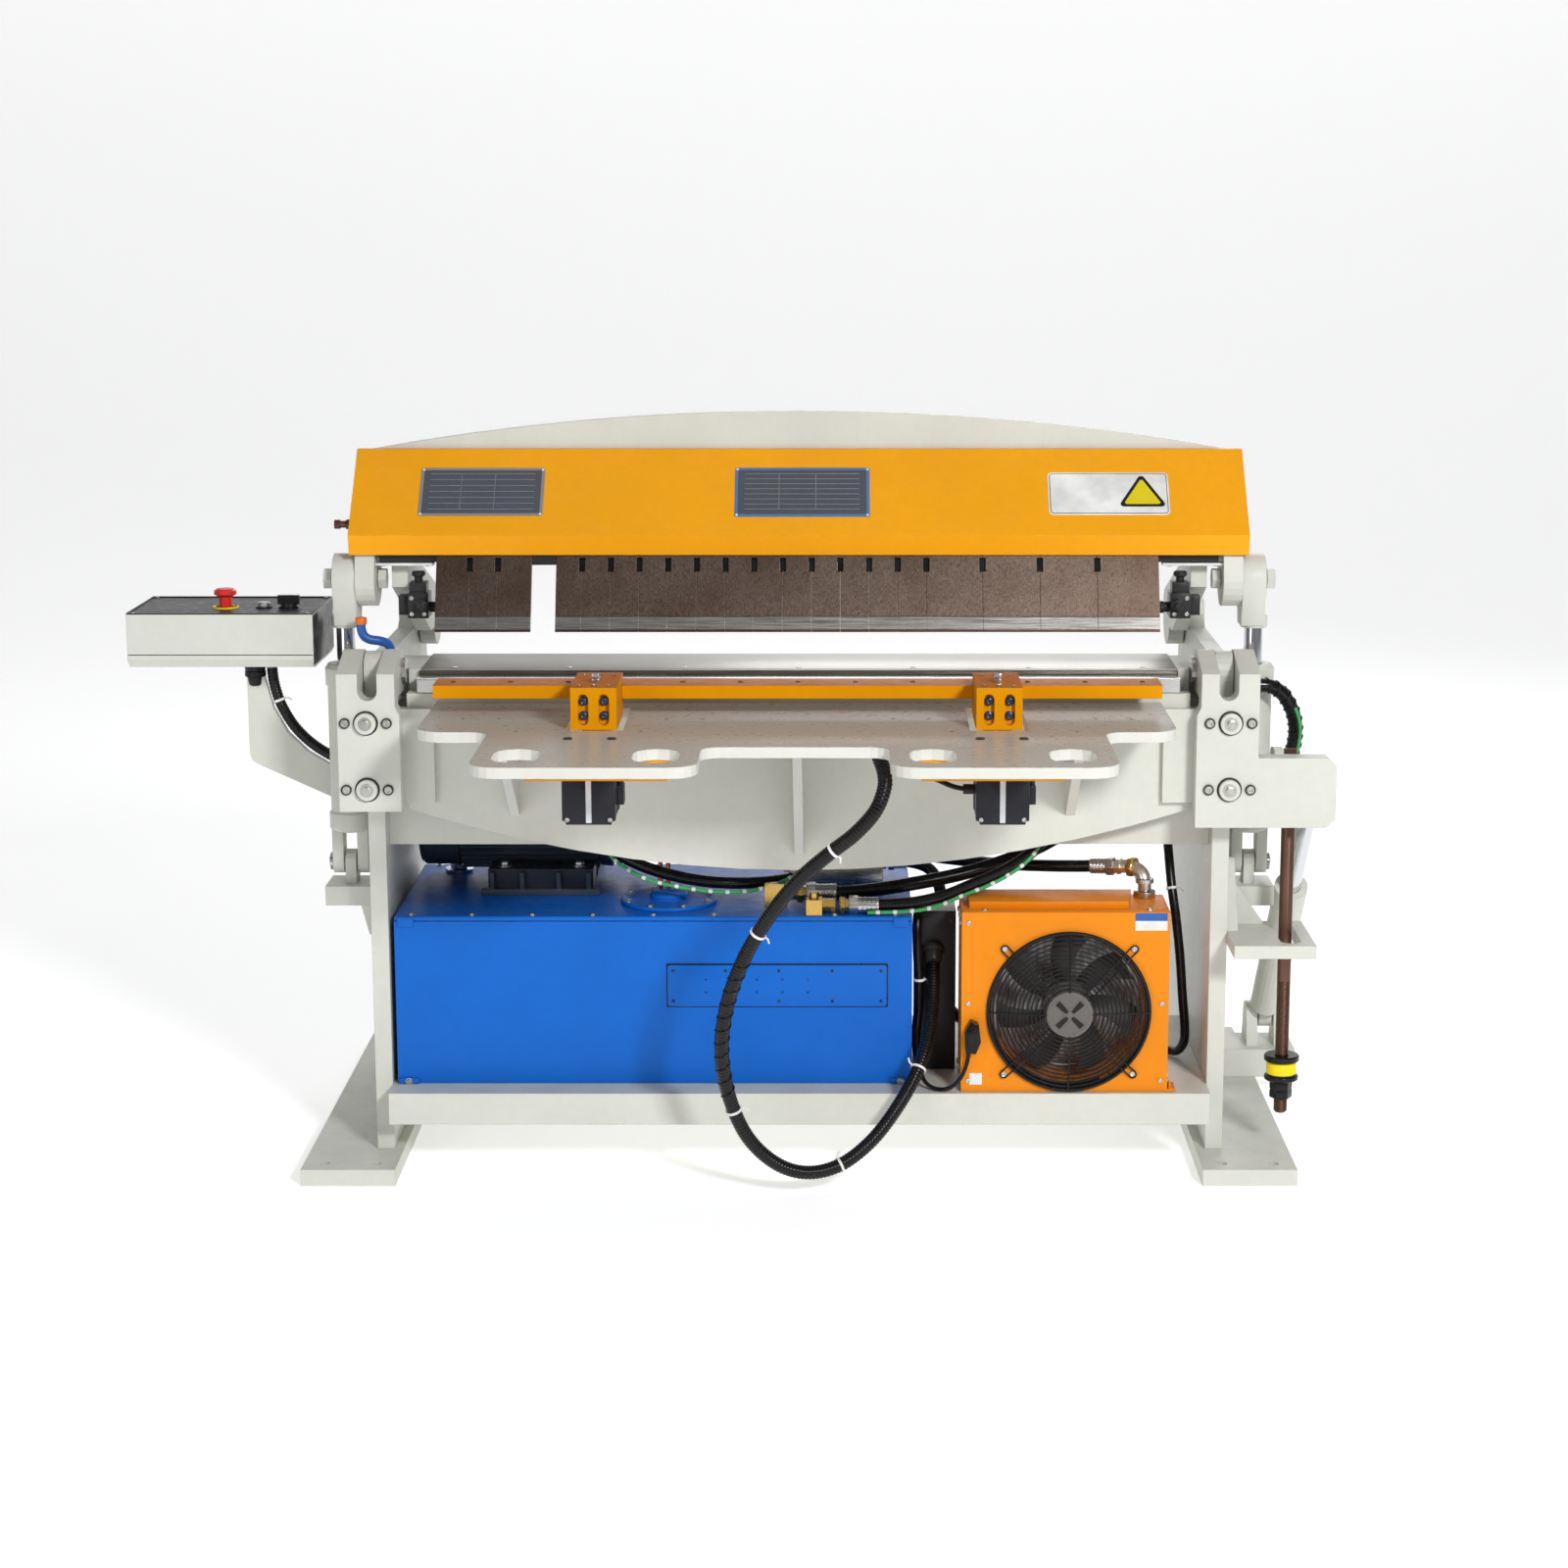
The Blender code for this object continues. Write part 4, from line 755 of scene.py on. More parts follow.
def fan():
    """Fan rotor: a round motor hub and seven swept, twisted blades."""
    form = Form()
    depth_front, depth_rear = ROTOR_LOW.y + 0.004, ROTOR_HIGH.y - 0.002
    hub = 0.043
    profile = [(hub * 0.55, 0.0), (hub * 0.6, 0.004), (hub * 0.93, 0.0055), (hub, 0.009), (hub, 0.036),
               (hub * 0.9, 0.04)]
    form.turned(profile, (FAN_X, depth_rear - 0.001, FAN_Z), FRONT, 36, 2)
    hub_cross(form, depth_front + 0.007, 0.024, 0.0045, 0.0025)
    for i in range(8):
        angle = 2 * pi * i / 8
        place = Vector((FAN_X + 0.033 * cos(angle), depth_front + 0.0085, FAN_Z + 0.033 * sin(angle)))
        form.socket_screw(place, FRONT, 0.0028, 0.002, 1, 12)
    blades, reach = 7, (ROTOR_HIGH.x - ROTOR_LOW.x) / 2 - 0.002
    for blade in range(blades):
        start = 2 * pi * blade / blades
        faces = []
        for i in range(8):
            share = i / 7
            radius = hub - 0.003 + (reach - hub + 0.003) * share
            sweep = -0.3 * share ** 1.4
            half = radians(15 - 2 * share)
            front, back = [], []
            for j in range(7):
                run = j / 6 * 2 - 1
                angle = start + sweep + half * run
                twist = 0.013 * run * (1 - 0.35 * share)
                y = (depth_front + depth_rear) / 2 + twist + 0.004 * (run * run - 0.5)
                point = Vector((FAN_X + radius * cos(angle), y, FAN_Z + radius * sin(angle)))
                front.append(point + Vector((0, -0.0009, 0)))
                back.append(point + Vector((0, 0.0009, 0)))
            faces.append(front + list(reversed(back)))
        form.lattice(faces)
    rotor = form.piece("fan_blades", "fan", ["blade_grey", "bright_steel", "hub_grey"])
    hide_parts("fan_rotor")


def cooler_body():
    """What the cooler's case carries: top rib, duct rim, screws, blank labels, core fins, feet and a plug."""
    x0, x1, top = COOLER_LOW.x, COOLER_HIGH.x, COOLER_HIGH.z
    lids = Form()
    lids.prism([(x0 + 0.014, -0.048), (x1 - 0.07, -0.048), (x1 - 0.058, 0.048), (x0 + 0.014, 0.048)],
               (top - 0.0005, top + 0.0125))
    lids.box((x0 + 0.002, -0.075, top), (x1 - 0.002, -0.062, top + 0.0018))
    z = 0.153
    for x in (x0 + 0.01, x1 + 0.001):
        lids.box((x - 0.01, FACE_Y - 0.001, z - 0.0032), (x + 0.014, FACE_Y + 0.045, z + 0.002))
        lids.prism([(FACE_Y + 0.002, z), (FACE_Y + 0.04, z), (FACE_Y + 0.002, z + 0.018)],
                   (x + 0.002, x + 0.005), "X")
    lids.piece("cooler_trim", "frame", "orange_paint", bevel=0.0008)

    rim = Form()
    collar = [(0.1385, 0.0), (0.1395, 0.004), (0.137, 0.0045), (0.1362, 0.0), (0.1362, -0.03),
              (0.138, -0.031)]
    rim.turned(collar, (FAN_X, FACE_Y, FAN_Z), FRONT, 64, cap=False)
    rim.piece("cooler_duct_rim", "frame", "black_plastic")

    screws = Form()
    for x in (x0 + 0.012, x1 - 0.012):
        for z in (0.17, 0.31, 0.455):
            if x < FAN_X or z < 0.44:
                screws.socket_screw((x, FACE_Y, z), FRONT, 0.0042, 0.0026)
    for y in (-0.055, 0.0, 0.045):
        for x in (x0, x1):
            sign = -1 if x == x0 else 1
            for z in (0.172, 0.452):
                screws.hex_bolt((x, y, z), (sign, 0, 0), 0.0045, 0.0035)
    for x in (x0 + 0.04, x1 - 0.035):
        screws.hex_bolt((x, -0.068, top + 0.0018), (0, 0, 1), 0.004, 0.0035)
    screws.piece("cooler_screws", "frame", "bright_steel")

    labels = Form()
    labels.box((0.586, FACE_Y - 0.0006, 0.459), (0.642, FACE_Y, 0.4725), 1)
    labels.box((0.586, FACE_Y - 0.0006, 0.4415), (0.642, FACE_Y, 0.4588), 0)
    labels.box((0.299, FACE_Y - 0.0006, 0.163), (0.321, FACE_Y, 0.184), 0)
    labels.piece("cooler_labels", "frame", ["white_plastic", "blue_plastic"])

    fins = Form()
    low, high = node_box("cooler_core")
    rows = 26
    for i in range(rows):
        z = low.z + 0.012 + (high.z - low.z - 0.024) * i / (rows - 1)
        fins.box((low.x + 0.02, high.y - 0.002, z - 0.0012), (high.x - 0.02, high.y + 0.0035, z + 0.0012))
    count = 62
    for i in range(count):
        x = low.x + 0.022 + (high.x - low.x - 0.044) * i / (count - 1)
        fins.box((x - 0.0005, high.y - 0.002, low.z + 0.01), (x + 0.0005, high.y + 0.002, high.z - 0.01))
    for x in (low.x + 0.01, high.x - 0.01):
        fins.rod((x, (low.y + high.y) / 2, low.z + 0.004), (x, (low.y + high.y) / 2, high.z - 0.004),
                 0.013)
    fins.piece("cooler_fins", "frame", "aluminium")
    grid = Form()
    for i in range(22):
        x = low.x + 0.03 + (high.x - low.x - 0.06) * i / 21
        grid.box((x - 0.0045, low.y - 0.0022, low.z + 0.012), (x + 0.002, low.y - 0.0002, high.z - 0.012))
    grid.piece("cooler_core_face", "frame", "core_grey")

    plug = Form()
    plug.prism([(0.291, 0.228), (0.309, 0.224), (0.318, 0.246), (0.314, 0.277), (0.3, 0.283),
                (0.29, 0.262)],
               (FACE_Y - 0.024, FACE_Y), "Y")
    plug.box((0.294, FACE_Y - 0.0275, 0.24), (0.309, FACE_Y - 0.023, 0.268))
    lead = smooth_route([(0.297, FACE_Y - 0.012, 0.228), (0.294, FACE_Y - 0.013, 0.205),
                         (0.283, FACE_Y - 0.012, 0.178),
                         (0.264, FACE_Y - 0.006, 0.1585), (0.24, FACE_Y + 0.004, 0.1545),
                         (0.221, FACE_Y + 0.022, 0.163), (0.213, FACE_Y + 0.05, 0.185),
                         (0.214, FACE_Y + 0.09, 0.215)], 0.006)
    plug.tube(lead, 0.0036, 10)
    plug.tube([(0.298, FACE_Y - 0.012, 0.236), (0.2965, FACE_Y - 0.012, 0.222)], [0.0062, 0.0045], 12)
    plug.piece("fan_plug_and_lead", "frame", "black_rubber", bevel=0.0012)


fan_guard()
fan()
cooler_body()


# ---------------------------------------------------------------- clamping beam
COVER_LOW, COVER_HIGH = node_box("top_cover")
SLOPE_FOOT = Vector((0.0, COVER_LOW.y, 1.118))
SLOPE = (Vector((0.0, 0.185, COVER_HIGH.z)) - SLOPE_FOOT).normalized()
SLOPE_OUT = Vector((0.0, -SLOPE.z, SLOPE.y))


def on_slope(x, s, lift):
    """A place on the cover's slanted face: s along the slope from its foot, lift above the face."""
    return SLOPE_FOOT + SLOPE * s + SLOPE_OUT * lift + Vector((x, 0, 0))


def slope_plate(form, x0, x1, s0, s1, corner, low, high, slot):
    """A flat plate with round corners on the cover's slanted face."""
    outline = arc(x1 - corner, s1 - corner, corner, 0, 90, 4) + arc(x0 + corner, s1 - corner, corner, 90,
                                                                    180, 4)
    outline += arc(x0 + corner, s0 + corner, corner, 180, 270, 4) + arc(x1 - corner, s0 + corner, corner,
                                                                        270, 360, 4)
    form.lattice([[on_slope(x, s, lift) for x, s in outline] for lift in (low, high)], slot=slot)


def nameplates():
    """Three blank plates on the cover: two riveted data plates and a caution plate with a plain triangle."""
    form = Form()
    slope_plate(form, -0.6665, -0.4487, 0.0435, 0.1515, 0.004, -0.0005, 0.001, 0)
    slope_plate(form, -0.661, -0.4542, 0.049, 0.146, 0.002, 0.001, 0.0013, 1)
    slope_plate(form, -0.113, 0.1237, 0.0415, 0.152, 0.003, -0.0005, 0.001, 2)
    slope_plate(form, -0.1075, 0.1182, 0.047, 0.1465, 0.002, 0.001, 0.0013, 1)
    slope_plate(form, 0.4372, 0.6494, 0.0457, 0.1412, 0.008, -0.0005, 0.0009, 3)
    slope_plate(form, 0.44, 0.6466, 0.0485, 0.1384, 0.006, 0.0009, 0.0012, 4)
    slope_plate(form, 0.4412, 0.6454, 0.0497, 0.1372, 0.005, 0.0012, 0.0014, 3)
    for grow, slot, lift in ((0.0, 4, 0.0014), (-0.0062, 5, 0.0016)):
        centre_x, centre_s, reach = 0.602, 0.0885, 0.044 + grow
        rows = []
        for height in (lift, lift + 0.0003):
            corners = []
            for turn in (90, 210, 330):
                cx = centre_x + (reach - 0.006) * cos(radians(turn))
                cs = centre_s + (reach - 0.006) * sin(radians(turn))
                corners += arc(cx, cs, 0.006 + grow * 0.4, turn - 60, turn + 60, 5)
            rows.append([on_slope(x, s, height) for x, s in corners])
        form.lattice(rows, slot=slot)
    for x, s in ((-0.6625, 0.0475), (-0.4527, 0.0475), (-0.6625, 0.1475), (-0.4527, 0.1475),
                 (-0.1092, 0.0452), (0.1199, 0.0452), (-0.1092, 0.1483), (0.1199, 0.1483)):
        form.turned([(0.0022, 0.0), (0.0021, 0.0008), (0.0012, 0.0013)], on_slope(x, s, 0.0009),
                    SLOPE_OUT, 12, 3)
    looks = ["plate_rim", "plate_dark", "plate_blue", "white_plastic", "black_plastic", "collar_yellow"]
    form.piece("cover_nameplates", "clamp_beam", looks)
    lines = Form()
    for x0, x1, rows in ((-0.65, -0.465, 7), (-0.096, 0.106, 8)):
        for i in range(rows):
            s = 0.058 + 0.08 * i / (rows - 1)
            slope_plate(lines, x0, x1, s - 0.0006, s + 0.0006, 0.0004, 0.0012, 0.00145, 0)
        for share in (0.3, 0.62):
            x = x0 + (x1 - x0) * share
            slope_plate(lines, x - 0.0006, x + 0.0006, 0.058, 0.138, 0.0004, 0.0012, 0.00145, 0)
    lines.piece("nameplate_rulings", "clamp_beam", ["plate_rim"])


def cover_trim():
    """Screws of the yellow cover, the light strips under it and the stub at its left-hand end."""
    form = Form()
    for x in (COVER_LOW.x + 0.0012, COVER_HIGH.x - 0.0012):
        for z in (1.11, 1.18):
            side = -1 if x < 0 else 1
            form.hex_bolt((x + side * 0.0005, 0.15, z), (side, 0, 0), 0.0048, 0.003)
    for i in range(9):
        x = -0.72 + 0.18 * i
        form.socket_screw((x, COVER_LOW.y + 0.0055, 1.1005), FRONT, 0.003, 0.0012)
    form.piece("cover_screws", "clamp_beam", "bright_steel")

    strips = Form()
    for x0, x1 in ((-0.742, -0.64), (0.636, 0.742)):
        strips.box((x0, 0.069, 1.062), (x1, 0.093, 1.0665))
        for x in (x0 + 0.012, x1 - 0.012):
            strips.box((x - 0.004, 0.074, 1.06), (x + 0.004, 0.088, 1.0622))
    strips.piece("end_light_strips", "clamp_beam", "white_plastic", bevel=0.0008)

    nipple = Form()
    nipple.rod((-0.786, 0.105, 1.131), (-0.796, 0.105, 1.131), 0.0095, 6)
    nipple.rod((-0.7955, 0.105, 1.131), (-0.812, 0.105, 1.131), 0.0062)
    nipple.rod((-0.806, 0.105, 1.131), (-0.8165, 0.105, 1.131), 0.0088, 6)
    nipple.piece("cover_oil_nipple", "clamp_beam", "browned_steel")


FINGER_LOW, FINGER_HIGH = node_box("left_fingers")
TIP_Z, HEEL_Z = FINGER_LOW.z, FINGER_HIGH.z
NARROW = [-0.378 + 0.05 * i for i in range(13)]
LEFT_SEAMS = [-0.6325, -0.574, -0.5248, -0.4659]
RIGHT_SEAMS = [-0.4234, *NARROW, 0.32, 0.42, 0.52, 0.6274]


def finger_skin(form, outline, slot, lift=0.0):
    """A solid between the fingers' front and rear faces; the outline is (x, share of height)."""
    rows = []
    for y_tip, y_heel in ((0.0 - lift, 0.058 - lift), (0.0125, 0.074)):
        rows.append([(x, y_tip + (y_heel - y_tip) * t, TIP_Z + (HEEL_Z - TIP_Z) * t) for x, t in outline])
    form.lattice(rows, slot=slot)


def fingers(name, seams, node):
    """Clamping fingers: ground blades side by side, each notched at its head, with a polished foot, and a
    black block sunk behind each notch as painted shade.
    """
    form = Form()
    gap, notch = 0.00012, 0.005
    foot, tip = 0.19, 0.032
    low, high = (1.055 - TIP_Z) / (HEEL_Z - TIP_Z), (1.078 - TIP_Z) / (HEEL_Z - TIP_Z)
    for i, (left, right) in enumerate(zip(seams, seams[1:])):
        a, b = left + gap, right - gap
        outline = [(a, foot + 0.006), (b, foot + 0.006)]
        if i < len(seams) - 2:
            outline += [(b, low), (b - notch, low), (b - notch, high), (b, high)]
        outline += [(b, 1.0), (a, 1.0)]
        if i:
            outline += [(a, high), (a + notch, high), (a + notch, low), (a, low)]
        finger_skin(form, outline, 0)
        # A black block 6 mm behind each notch is painted shade, to darken the notch.
        if i:
            finger_skin(form, [(a - notch, low), (a + notch, low), (a + notch, high), (a - notch, high)],
                        3, -0.006)
        finger_skin(form, [(a, tip), (b, tip), (b, foot), (a, foot)], 1, -0.0004)
        groove = [(a, foot), (b, foot), (b, foot + 0.006), (a, foot + 0.006)]
        finger_skin(form, groove, 2, -0.001)
        finger_skin(form, [(a, 0.0), (b, 0.0), (b, tip), (a, tip)], 2, 0.0)
    looks = ["finger_steel", "finger_foot", "finger_tip", "black_rubber"]
    row = form.piece(name, "clamp_beam", looks, soft=False, bevel=0.0004)
    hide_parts(node)


def adjusters():
    """Black end blocks with their knobs, gauge screws and hose stubs behind the fingers."""
    form = Form()
    form.box((0.652, 0.078, 0.968), (0.688, 0.128, 1.012))
    form.box((0.656, 0.086, 1.0115), (0.686, 0.124, 1.03))
    form.turned([(0.006, 0.0), (0.0075, 0.002), (0.0075, 0.009), (0.0115, 0.011), (0.0125, 0.015),
                 (0.0105, 0.019)],
                (0.671, 0.104, 1.0295), (0, 0, 1), 20)
    form.rod((0.664, 0.079, 0.992), (0.664, 0.066, 0.992), 0.0105)
    form.rod((0.664, 0.068, 0.992), (0.664, 0.057, 0.992), 0.006, 12)
    form.rod((0.653, 0.104, 0.985), (0.64, 0.104, 0.985), 0.0095)
    form.rod((0.6425, 0.104, 0.985), (0.636, 0.104, 0.985), 0.012, 6)
    form.box((0.687, 0.092, 0.972), (0.706, 0.122, 1.006))
    form.mirrored()
    form.piece("end_adjusters", "clamp_beam", "black_satin", bevel=0.0018)
    screws = Form()
    for x, z in ((0.659, 0.976), (0.681, 0.976), (0.681, 1.004)):
        screws.socket_screw((x, 0.078, z), FRONT, 0.004, 0.003)
    screws.mirrored()
    screws.piece("adjuster_screws", "clamp_beam", "bright_steel")


nameplates()
cover_trim()
fingers("left_finger_blades", LEFT_SEAMS, "left_fingers")
fingers("right_finger_blades", RIGHT_SEAMS, "right_fingers")
adjusters()


# ---------------------------------------------------------------- bed, table and back gauge
TABLE_LOW, TABLE_HIGH = node_box("support_table")
TABLE_TOP = TABLE_HIGH.z
BLOCK_LOW, BLOCK_HIGH = node_box("right_gauge_block")
GAUGE_X = (BLOCK_LOW.x + BLOCK_HIGH.x) / 2
STEPPER_LOW, STEPPER_HIGH = node_box("right_stepper")
SCREW_LOW, SCREW_HIGH = node_box("right_lead_screw")
SCREW_Z = (SCREW_LOW.z + SCREW_HIGH.z) / 2
UP = (0, 0, 1)


def bed_details():
    """Screws along the bed's blade, and the ground strip of the bending blade."""
    screws = Form()
    columns = [-0.602 + 0.2005 * i for i in range(7)]
    for x in columns:
        screws.socket_screw((x, 0.03, 0.888), UP, 0.0052, 0.0016)
    screws.piece("bed_screws", "frame", "bright_steel")
    ground = Form()
    ground.box((-0.66, 0.013, 0.8872), (0.66, 0.19, 0.8884))
    ground.piece("bed_face_plate", "frame", "bed_top", bevel=0.0003)
    strip = Form()
    low, high = node_box("bending_blade")
    strip.box((low.x, low.y + 0.001, high.z - 0.0003), (high.x, high.y - 0.012, high.z + 0.0012))
    strip.piece("blade_wear_strip", "bending_beam", "ground_steel", bevel=0.0005)
    holes = Form()
    for x in columns:
        holes.socket_screw((x, low.y, 0.866), FRONT, 0.0048, 0.0022)
    holes.piece("blade_screws", "bending_beam", "bright_steel")


def table_details():
    """Motor plates under the table, their screws, and the table's own screws."""
    plates = Form()
    span = (TABLE_LOW.z - 0.0085, TABLE_LOW.z - 0.0003)
    front, hole_front, hole_rear, motor_front, rear = -0.62, -0.611, -0.486, -0.455, -0.345
    outline = [(0.197, front), (0.42, front), (0.42, hole_front), (0.399, hole_front), (0.399, hole_rear),
               (0.42, hole_rear), (0.42, motor_front), (0.197, motor_front), (0.197, hole_rear),
               (0.257, hole_rear), (0.257, hole_front), (0.197, hole_front)]
    plates.prism(outline, span)
    plates.box((0.197, motor_front, span[0]), (GAUGE_X - 0.054, rear, span[1]))
    plates.box((GAUGE_X + 0.054, motor_front, span[0]), (0.42, rear, span[1]))
    plates.mirrored()
    plates.piece("motor_plates", "bending_beam", "gauge_orange", soft=False, bevel=0.001)
    dark = Form()
    for x in (-0.369, -0.298, 0.298, 0.369):
        dark.socket_screw((x, -0.4, TABLE_TOP), UP, 0.0075, 0.0022)
    rear_row = [(x, -0.21) for x in (-0.56, -0.5, -0.22, -0.16, 0.16, 0.22, 0.5, 0.56)]
    middle_row = [(x, -0.33) for x in (-0.46, -0.255, 0.255, 0.46)]
    rim = [(0.0032, -0.0004), (0.0034, 0.0002), (0.0022, 0.0003), (0.002, -0.0004)]
    for x, y in rear_row + middle_row:
        dark.turned(rim, (x, y, TABLE_TOP), UP, 12)
    dark.piece("table_screws", "bending_beam", "black_satin")


def gauge_details():
    """Slot bolts and finger stops of the gauge blocks, and the rail's screws."""
    bolts = Form()
    tabs = Form()
    for side in (-1, 1):
        centre = side * GAUGE_X
        for dx in (-0.017, 0.017):
            for z in (0.862, 0.886):
                bolts.turned([(0.0078, 0.0), (0.0078, 0.0012), (0.006, 0.0014), (0.0062, 0.0058),
                              (0.0052, 0.0066),
                              (0.0034, 0.0066), (0.003, 0.0035), (0.0003, 0.0032)],
                             (centre + dx, BLOCK_LOW.y + 0.0118, z), FRONT, 18)
        top = BLOCK_HIGH.z
        tabs.box((centre - 0.006, -0.268, top - 0.0005), (centre + 0.006, -0.236, top + 0.0065))
        tabs.box((centre - 0.006, -0.268, top + 0.006), (centre + 0.006, -0.262, top + 0.015))
        for y in (-0.3, -0.19):
            tabs.socket_screw((centre, y, top), UP, 0.0048, 0.003)
            tabs.socket_screw((centre - 0.024, y, top), UP, 0.0036, 0.0022)
            tabs.socket_screw((centre + 0.024, y, top), UP, 0.0036, 0.0022)
    bolts.piece("gauge_slot_bolts", "gauge", "blued_steel")
    tabs.piece("gauge_stops", "gauge", "bright_steel", bevel=0.0006)
    rail = Form()
    low, high = node_box("gauge_rail")
    for i in range(13):
        x = low.x + 0.03 + (high.x - low.x - 0.06) * i / 12
        if abs(abs(x) - GAUGE_X) > 0.055:
            rail.socket_screw((x, (low.y + high.y) / 2, high.z), UP, 0.0042, 0.0016)
    rail.piece("rail_screws", "gauge", "browned_steel")


def lead_screw(name, side, node):
    """One gauge screw: a trapezoidal thread between plain ends."""
    form = Form()
    y0, y1, radius = SCREW_LOW.y, SCREW_HIGH.y, (SCREW_HIGH.x - SCREW_LOW.x) / 2
    length, plain = y1 - y0, 0.012
    turns, last = thread(plain, length - 0.01, 0.005, radius, radius * 0.76, (0.0014, 0.003, 0.0044))
    profile = [(radius * 0.7, 0.0), (radius * 0.7, plain), *turns, (radius * 0.7, last),
               (radius * 0.7, length)]
    form.turned(profile, (side * GAUGE_X, y0, SCREW_Z), (0, 1, 0), 18)
    obj = form.piece(name, name.replace("_thread", ""), "bright_steel")
    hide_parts(node)


def stepper(name, side, node):
    """Stepper motor: laminated body with notched corners, end caps, a light front stripe and its lead."""
    x0 = side * GAUGE_X
    low, high = node_box(node)
    centre = (low.x + high.x) / 2
    front, rear = low.y, high.y
    form = Form()
    half, cut = 0.043, 0.0085

    def outline(grow, notch):
        size = half + grow
        loop = []
        for a, b in ((1, 1), (-1, 1), (-1, -1), (1, -1)):
            first = [(a * size, b * (size - notch)), (a * (size - notch * 0.75),
                                                      b * (size - notch * 0.75)),
                     (a * (size - notch), b * size)]
            loop += first if a * b > 0 else list(reversed(first))
        return [(x0 + a, SCREW_Z + b) for a, b in loop]

    form.prism(outline(-0.001, cut), (front + 0.018, rear - 0.016), "Y", 0)
    form.prism(outline(0.0, cut * 0.8), (front + 0.0005, front + 0.02), "Y", 1)
    form.prism(outline(0.0, cut * 0.8), (rear - 0.018, rear), "Y", 1)
    for i in range(9):
        y = front + 0.023 + i * (rear - front - 0.044) / 8
        form.prism(outline(-0.0004, cut), (y - 0.0022, y + 0.0022), "Y", 0)
    form.box((x0 - 0.0045, front - 0.0004, SCREW_Z - 0.04), (x0 + 0.0045, front + 0.0006, SCREW_Z + 0.04),
             2)
    for a in (-1, 1):
        for b in (-1, 1):
            form.socket_screw((x0 + a * 0.0345, front + 0.0004, SCREW_Z + b * 0.0345), FRONT, 0.0038,
                              0.0022, 3)
    side_x = x0 + half
    form.box((side_x - 0.002, front + 0.03, SCREW_Z - 0.016),
             (side_x + 0.012, front + 0.062, SCREW_Z + 0.014), 1)
    form.rod((side_x + 0.006, front + 0.046, SCREW_Z + 0.012),
             (side_x + 0.006, front + 0.046, SCREW_Z + 0.024), 0.0055, 16, 1)
    form.box((centre - 0.03, rear - 0.03, SCREW_Z + half - 0.001),
             (centre + 0.02, rear - 0.004, high.z - 0.0004), 1)
    obj = form.piece(name, "bending_beam", ["stepper_body", "stepper_cap", "stripe_white",
                                            "bright_steel"], bevel=0.0008)
    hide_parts(node)
    lead = Form()
    start = Vector((side_x + 0.006, front + 0.046, SCREW_Z + 0.022))
    if side > 0:
        start = Vector((x0 - half + 0.001, front + 0.05, SCREW_Z + 0.006))
        lead.rod(start + Vector((0.001, 0, 0)), start + Vector((-0.02, 0, 0)), 0.0085, 16)
        steps = [(-0.016, 0, 0), (-0.036, 0.001, 0.004), (-0.06, 0.003, 0.014), (-0.092, 0.006, 0.03),
                 (-0.118, 0.008, 0.046), (-0.15, 0.009, 0.052)]
    else:
        steps = [(0, 0, -0.004), (0.002, 0, 0.012), (0.014, 0.004, 0.026), (0.05, 0.014, 0.032),
                 (0.11, 0.03, 0.034), (0.19, 0.04, 0.034)]
    lead.tube(smooth_route([start + Vector(step) for step in steps], 0.005), 0.0042, 10)
    lead.piece(name + "_lead", "bending_beam", "black_rubber")


bed_details()
table_details()
gauge_details()
for side_name, side_sign in (("left", -1), ("right", 1)):
    lead_screw(side_name + "_lead_screw_thread", side_sign, side_name + "_lead_screw")
    stepper(side_name + "_stepper_motor", side_sign, side_name + "_stepper")


# ---------------------------------------------------------------- oil tank, motor and pump
TANK_LOW, TANK_HIGH = node_box("oil_tank")
LID_LOW, LID_HIGH = node_box("tank_lid")
MOTOR_LOW, MOTOR_HIGH = node_box("electric_motor")
MOTOR_Y, MOTOR_Z = (MOTOR_LOW.y + MOTOR_HIGH.y) / 2, (MOTOR_LOW.z + MOTOR_HIGH.z) / 2
MOTOR_RADIUS = (MOTOR_HIGH.y - MOTOR_LOW.y) / 2
ALONG = (1, 0, 0)


